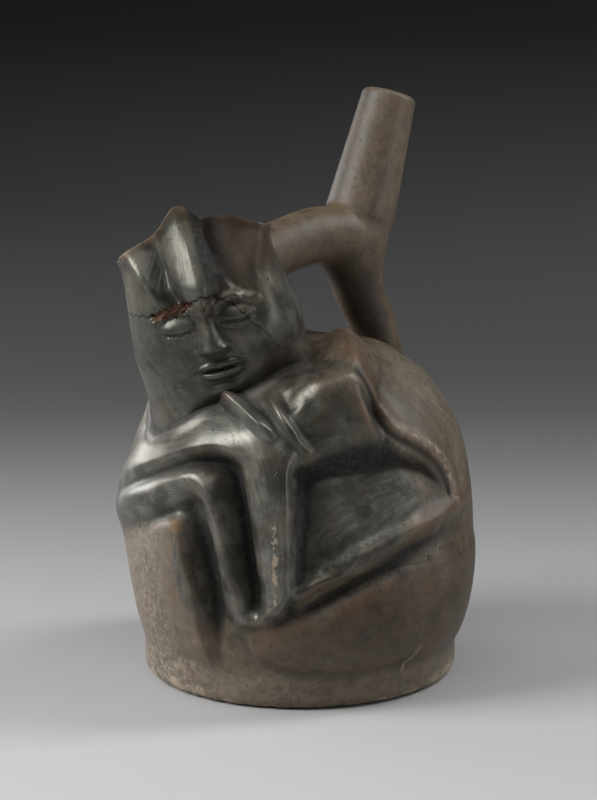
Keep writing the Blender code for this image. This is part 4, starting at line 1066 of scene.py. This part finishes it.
# Painted shade: the side of the spout that faces the front left is darkened through its crease mask.
spout_masks["crease"] = 0.55 * ease(spout_facing @ np.array([-0.5, -0.85, 0.15]), 0.5, 0.98)
model_piece("spout", "spout_clay", sheet, bore, spout_facing, spout_masks)

# Studio floor: a plain pale sheet of card. Its colour is painted shade: pale grey under the vessel,
# darkening into painted shade behind it, where it is painted a little lighter to the right.
bpy.ops.object.select_all(action='DESELECT')
bpy.ops.mesh.primitive_plane_add(size=40.0, location=(0.0, 0.0, 0.0))
floor = bpy.context.object
floor.name = "floor"
floor_paint = bpy.data.materials.new("floor_paint")
floor_paint.use_nodes = True
tree = floor_paint.node_tree
shader = tree.nodes["Principled BSDF"]
shader.inputs["Roughness"].default_value = 0.75
spot = add_node(tree, "ShaderNodeTexCoord").outputs["Object"]


def metres_towards(direction):
    """How far a spot of the floor lies from its middle, along a direction."""
    made = add_node(tree, "ShaderNodeVectorMath", operation='DOT_PRODUCT')
    made.inputs[1].default_value = direction
    feed(made.inputs[0], spot)
    return made.outputs["Value"]


behind, rightward = metres_towards((-0.719, 0.695, 0.0)), metres_towards((0.695, 0.719, 0.0))
shade = add_node(tree, "ShaderNodeValToRGB")
feed(shade.inputs["Fac"], ramp(behind, -0.4, 2.8))
shade.color_ramp.interpolation = 'B_SPLINE'
stops = shade.color_ramp.elements
stops[0].position, stops[0].color = 0.0, (0.52, 0.52, 0.52, 1.0)
stops[1].position, stops[1].color = 1.0, (0.055, 0.055, 0.055, 1.0)
for position, grey_level in ((0.05, 0.41), (0.09, 0.275), (0.13, 0.16), (0.175, 0.072), (0.24, 0.064),
                             (0.36, 0.069), (0.60, 0.092), (0.90, 0.092)):
    stop = stops.new(position)
    stop.color = (grey_level, grey_level, grey_level * 1.01, 1.0)
# Painted light: far behind the vessel the floor is painted lighter to the right.
lean = plus(times(rightward, ramp(behind, 0.15, 0.9)), 0.7, 1.0)
feed(shader.inputs["Base Color"], scaled(shade.outputs["Color"], lean))
floor.data.materials.append(floor_paint)

# Studio lamps: a soft square lamp at the front left, a low one at the left, a weak one overhead, and two
# from behind on the right that draw the edges. The room around them is nearly dark.
aim = Vector((-0.0004, -0.0004, 0.1055))


def towards(azimuth, elevation):
    """Direction from the vessel; azimuth 0 is its front, and +X is at 90 degrees."""
    a, e = math.radians(azimuth), math.radians(elevation)
    return Vector((math.sin(a) * math.cos(e), -math.cos(a) * math.cos(e), math.sin(e)))


for lamp_name, azimuth, elevation, distance, size, watts, spread in (
        ("key_lamp", -26.0, 34.0, 1.25, (0.62, 0.62), 16.0, 180.0),
        ("left_lamp", -80.0, 6.0, 1.2, (0.8, 0.36), 2.8, 120.0),
        ("top_lamp", 40.0, 68.0, 1.2, (0.9, 0.9), 3.6, 180.0),
        ("right_lamp", 146.0, 44.0, 1.3, (0.35, 1.0), 10.0, 180.0),
        ("edge_lamp", 118.0, 8.0, 1.2, (0.2, 0.36), 1.5, 180.0)):
    back = towards(azimuth, elevation)
    bpy.ops.object.light_add(type='AREA', location=aim + back * distance)
    lamp = bpy.context.object
    lamp.name = lamp_name
    lamp.rotation_euler = back.to_track_quat('Z', 'Y').to_euler()
    lamp.data.shape = 'RECTANGLE'
    lamp.data.size, lamp.data.size_y = size
    lamp.data.energy = watts
    lamp.data.spread = math.radians(spread)
world = bpy.data.worlds.new("studio")
bpy.context.scene.world = world
world.use_nodes = True
world.node_tree.nodes["Background"].inputs["Color"].default_value = (0.05, 0.05, 0.051, 1.0)

# Camera: a long lens at the figure's left front, a little over a metre off, that looks a little down on the
# middle of the vessel.
toward, camera_distance = towards(46.0, 12.5), 1.155
camera_turn = toward.to_track_quat('Z', 'Y').to_euler()
bpy.ops.object.camera_add(location=aim + toward * camera_distance, rotation=camera_turn)
camera = bpy.context.object
camera.data.lens, camera.data.sensor_width, camera.data.clip_start = 135.0, 36.0, 0.01
bpy.context.scene.camera = camera
bpy.context.scene.view_settings.view_transform = 'Standard'
